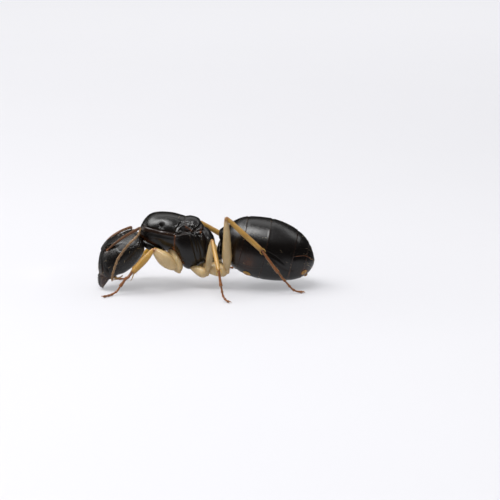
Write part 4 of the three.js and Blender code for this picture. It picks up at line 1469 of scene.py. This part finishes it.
class ANT_OT_hairs(bpy.types.Operator):
    """Standing hairs, leg bristles and the short down between them, rooted on the built pieces"""

    bl_idname = "ant.hairs"
    bl_label = "Hairs and Down"

    def execute(self, context):
        rng = np.random.default_rng(HAIR_SEED)
        s = sizes()
        for name, (starts, slot, count, long, wide, lean, rows) in COATS.items():
            roots = roots_on(built(*starts), count, rng, rows)
            rings = DOWN_RINGS if name.startswith("down") else HAIR_RINGS
            coat = grown(roots, rng, long * s["hair"], wide * s["hair_root"], lean, rings)
            finish = "dark_hair" if name in DARK_COATS else "hair"
            mesh = make_piece(name, coat, finish).data
            corners = np.empty(len(mesh.loops), int)
            mesh.loops.foreach_get("vertex_index", corners)
            mesh.uv_layers.new(name="OFBake").data.foreach_set("uv", coat.unwrap[corners].ravel())
        return {"FINISHED"}


# ---- Stage ----

LENS = 135.0
SENSOR = 36.0
VIEW_WIDTH = 32.79  # millimetres across the view at the animal
VIEW_TILT = 13.0  # degrees the camera looks down
AIM = (2.915, -0.23, 2.456)  # the point at the middle of the view
CEILING = (0.5, 0.85)  # how high the dim wall ends and the bright ceiling starts, as sines
ROOM_LOW, ROOM_HIGH = 0.05, 0.4
FLOOR_GLOW, FLOOR_GLOW_FAR = 0.36, 0.66  # the paper's own light under the animal and far behind it
PAPER_LIGHT = (0.97, 0.97, 1.0)
SHADOW_NEAR, SHADOW_FAR, SHADOW_GLOW = 3.0, 18.0, 0.93  # painted shadow: near the animal the paper glows at this share
MIRROR_NEAR, MIRROR_FAR = 5.0, 13.0  # where the shell mirrors the paper most and least, in millimetres
MIRRORED, MIRRORED_FAR = 0.75, 0.08  # how much of the paper's glow it mirrors there
DOME = 0.47  # the even light of the whole room that fills the shadows
ROOM_TINT = (0.97, 0.98, 1.0)
BACKDROP = (0.92, 0.92, 0.94)
FLOOR_HALF = 1.5  # metres from the middle of the floor to its edge
NEAR_SPREAD = 10.0  # the nearest box lights only the back of the head, in degrees
AIM_HEIGHT = 0.003  # metres above the floor that every box aims at
# Soft boxes: turn from the front to the right and rise in degrees, distance, width and depth in
# metres, glow, and how far along the animal each one aims in metres.
SOFT_BOXES = {
    "box_top": (-30, 71, 0.15, 0.08, 0.06, 10.5, 0.0),
    "box_left": (-88, 54, 0.15, 0.12, 0.07, 6.5, 0.0),
    "box_low": (-115, 13, 0.15, 0.1, 0.05, 1.1, 0.0),
    "box_streak": (7, 54, 0.15, 0.014, 0.04, 6.0, 0.0),
    "box_near": (60, 33, 0.02, 0.004, 0.004, 0.34, -0.0045),
    "box_rear": (112, 44, 0.15, 0.07, 0.05, 2.0, 0.0),
    "box_behind": (180, 62, 0.2, 0.2, 0.12, 1.0, 0.0),
}


class ANT_OT_stage(bpy.types.Operator):
    """Pale plain floor, soft studio light and the camera"""

    bl_idname = "ant.stage"
    bl_label = "Stage and Camera"

    def execute(self, context):
        self.floor()
        self.light()
        self.camera()
        return {"FINISHED"}

    def floor(self):
        """A wide pale floor under the feet."""
        mesh = bpy.data.meshes.new("floor")
        corners = [(-1, -1), (1, -1), (1, 1), (-1, 1)]
        mesh.from_pydata([(x * FLOOR_HALF, y * FLOOR_HALF, 0) for x, y in corners], [], [(0, 1, 2, 3)])
        material = bpy.data.materials.new("floor_paper")
        material.use_nodes = True
        n = Nodes(material.node_tree)
        shader = n.tree.nodes["Principled BSDF"]
        place = n.add("ShaderNodeTexCoord").outputs["Object"]
        noise = n.add("ShaderNodeTexNoise", {"Vector": place, "Scale": 60.0, "Detail": 3.0})
        tone = n.mix(n.spread(noise.outputs[0], 0.3, 0.7, 0.0, 0.05), (*colours().floor, 1),
                     (*[c * 0.85 for c in colours().floor], 1))
        shader.inputs["Roughness"].default_value = 0.6
        shader.inputs["Specular IOR Level"].default_value = 0.2
        shader.inputs["Emission Color"].default_value = (*PAPER_LIGHT, 1)
        away = n.add("ShaderNodeSeparateXYZ", {0: place}).outputs[1]
        glow = n.spread(away, 0.01, 0.2, FLOOR_GLOW, FLOOR_GLOW_FAR)
        path = n.add("ShaderNodeLightPath").outputs
        # how far a spot is from the middle of the animal, in millimetres, its length counted less
        moved = n.add("ShaderNodeVectorMath", {0: place, 1: (1.5 * MM, 0, 0)}, operation="SUBTRACT")
        squeezed = n.add("ShaderNodeVectorMath", {0: moved.outputs[0], 1: (0.7 / MM, 1 / MM, 0)},
                         operation="MULTIPLY")
        reach = n.add("ShaderNodeVectorMath", {0: squeezed.outputs[0]}, operation="LENGTH")
        # painted shadow: the paper's glow is dimmed near the animal
        shadow_dim = n.spread(reach.outputs["Value"], SHADOW_NEAR, SHADOW_FAR, SHADOW_GLOW, 1.0)
        near = n.spread(reach.outputs["Value"], MIRROR_NEAR, MIRROR_FAR, MIRRORED, MIRRORED_FAR)
        seen = n.math("ADD", path["Is Camera Ray"], path["Is Diffuse Ray"], clamp=True)
        seen = n.math("MAXIMUM", seen, near)
        glow = n.math("MULTIPLY", glow, shadow_dim)
        n.tree.links.new(n.math("MULTIPLY", glow, seen), shader.inputs["Emission Strength"])
        n.tree.links.new(n.mix(seen, (0, 0, 0, 1), tone), shader.inputs["Base Color"])
        mesh.materials.append(material)
        floor = bpy.data.objects.new("floor", mesh)
        bpy.context.scene.collection.objects.link(floor)

    def light(self):
        """A pale backdrop, a room that is bright overhead and dim below, and the soft boxes."""
        bpy.context.scene.view_settings.view_transform = "Standard"
        world = bpy.data.worlds.new("studio")
        bpy.context.scene.world = world
        world.use_nodes = True
        n = Nodes(world.node_tree)
        up = n.add("ShaderNodeSeparateXYZ", {0: n.add("ShaderNodeTexCoord").outputs["Generated"]})
        high = n.spread(up.outputs["Z"], *CEILING)
        room = n.mix(high, (*[c * ROOM_LOW for c in ROOM_TINT], 1),
                     (*[c * ROOM_HIGH for c in ROOM_TINT], 1))
        path = n.add("ShaderNodeLightPath").outputs
        lit = n.mix(path["Is Diffuse Ray"], room, (*[c * DOME for c in ROOM_TINT], 1))
        backdrop = n.mix(path["Is Camera Ray"], lit, (*BACKDROP, 1))
        n.tree.links.new(backdrop, n.tree.nodes["Background"].inputs["Color"])
        for name, (turn, rise, away, width, depth, glow, aim) in SOFT_BOXES.items():
            lamp = bpy.data.lights.new(name, "AREA")
            lamp.shape = "RECTANGLE"
            lamp.size, lamp.size_y = width, depth
            lamp.energy = glow * math.pi * width * depth
            if name == "box_near":
                lamp.spread = math.radians(NEAR_SPREAD)
            obj = bpy.data.objects.new(name, lamp)
            turn, rise = math.radians(turn), math.radians(rise)
            way = Vector((math.sin(turn) * math.cos(rise), -math.cos(turn) * math.cos(rise),
                          math.sin(rise)))
            obj.location = Vector((aim, 0, AIM_HEIGHT)) + away * way
            obj.visible_camera = False
            obj.rotation_euler = way.to_track_quat("Z", "Y").to_euler()
            bpy.context.scene.collection.objects.link(obj)

    def camera(self):
        """A long lens, level with the world and a little above the animal."""
        data = bpy.data.cameras.new("camera")
        data.lens = LENS
        data.sensor_width = SENSOR
        data.clip_start = 0.001
        data.clip_end = 10
        camera = bpy.data.objects.new("camera", data)
        away = VIEW_WIDTH * MM * LENS / SENSOR
        down = math.radians(VIEW_TILT)
        aim = Vector(AIM) * MM
        camera.location = aim - away * Vector((0, math.cos(down), -math.sin(down)))
        camera.rotation_euler = (math.radians(90) - down, 0, 0)
        bpy.context.scene.collection.objects.link(camera)
        bpy.context.scene.camera = camera


# ---- Add-on ----

OPERATORS = (ANT_OT_head, ANT_OT_mouth, ANT_OT_thorax, ANT_OT_gaster, ANT_OT_antennae, ANT_OT_legs,
             ANT_OT_hairs, ANT_OT_stage)


class ANT_PT_panel(bpy.types.Panel):
    """Sidebar panel with the pieces to build and their settings"""

    bl_idname = "ANT_PT_panel"
    bl_label = "Carpenter Ant Queen"
    bl_space_type = "VIEW_3D"
    bl_region_type = "UI"
    bl_category = "Ant"

    def draw(self, context):
        for operator in OPERATORS:
            self.layout.operator(operator.bl_idname)
        for settings in (context.scene.ant_colours, context.scene.ant_sizes):
            for name in type(settings).__annotations__:
                self.layout.prop(settings, name)


CLASSES = (ANT_PG_colours, ANT_PG_sizes, *OPERATORS, ANT_PT_panel)


def register():
    """Adds the settings, operators and panel."""
    for item in CLASSES:
        bpy.utils.register_class(item)
    bpy.types.Scene.ant_colours = bpy.props.PointerProperty(type=ANT_PG_colours)
    bpy.types.Scene.ant_sizes = bpy.props.PointerProperty(type=ANT_PG_sizes)


def unregister():
    """Removes what register added."""
    del bpy.types.Scene.ant_sizes
    del bpy.types.Scene.ant_colours
    for item in reversed(CLASSES):
        bpy.utils.unregister_class(item)


def main():
    """Builds every piece and the stage."""
    register()
    for operator in OPERATORS:
        family, name = operator.bl_idname.split(".")
        getattr(getattr(bpy.ops, family), name)()


if __name__ == "__main__":
    main()
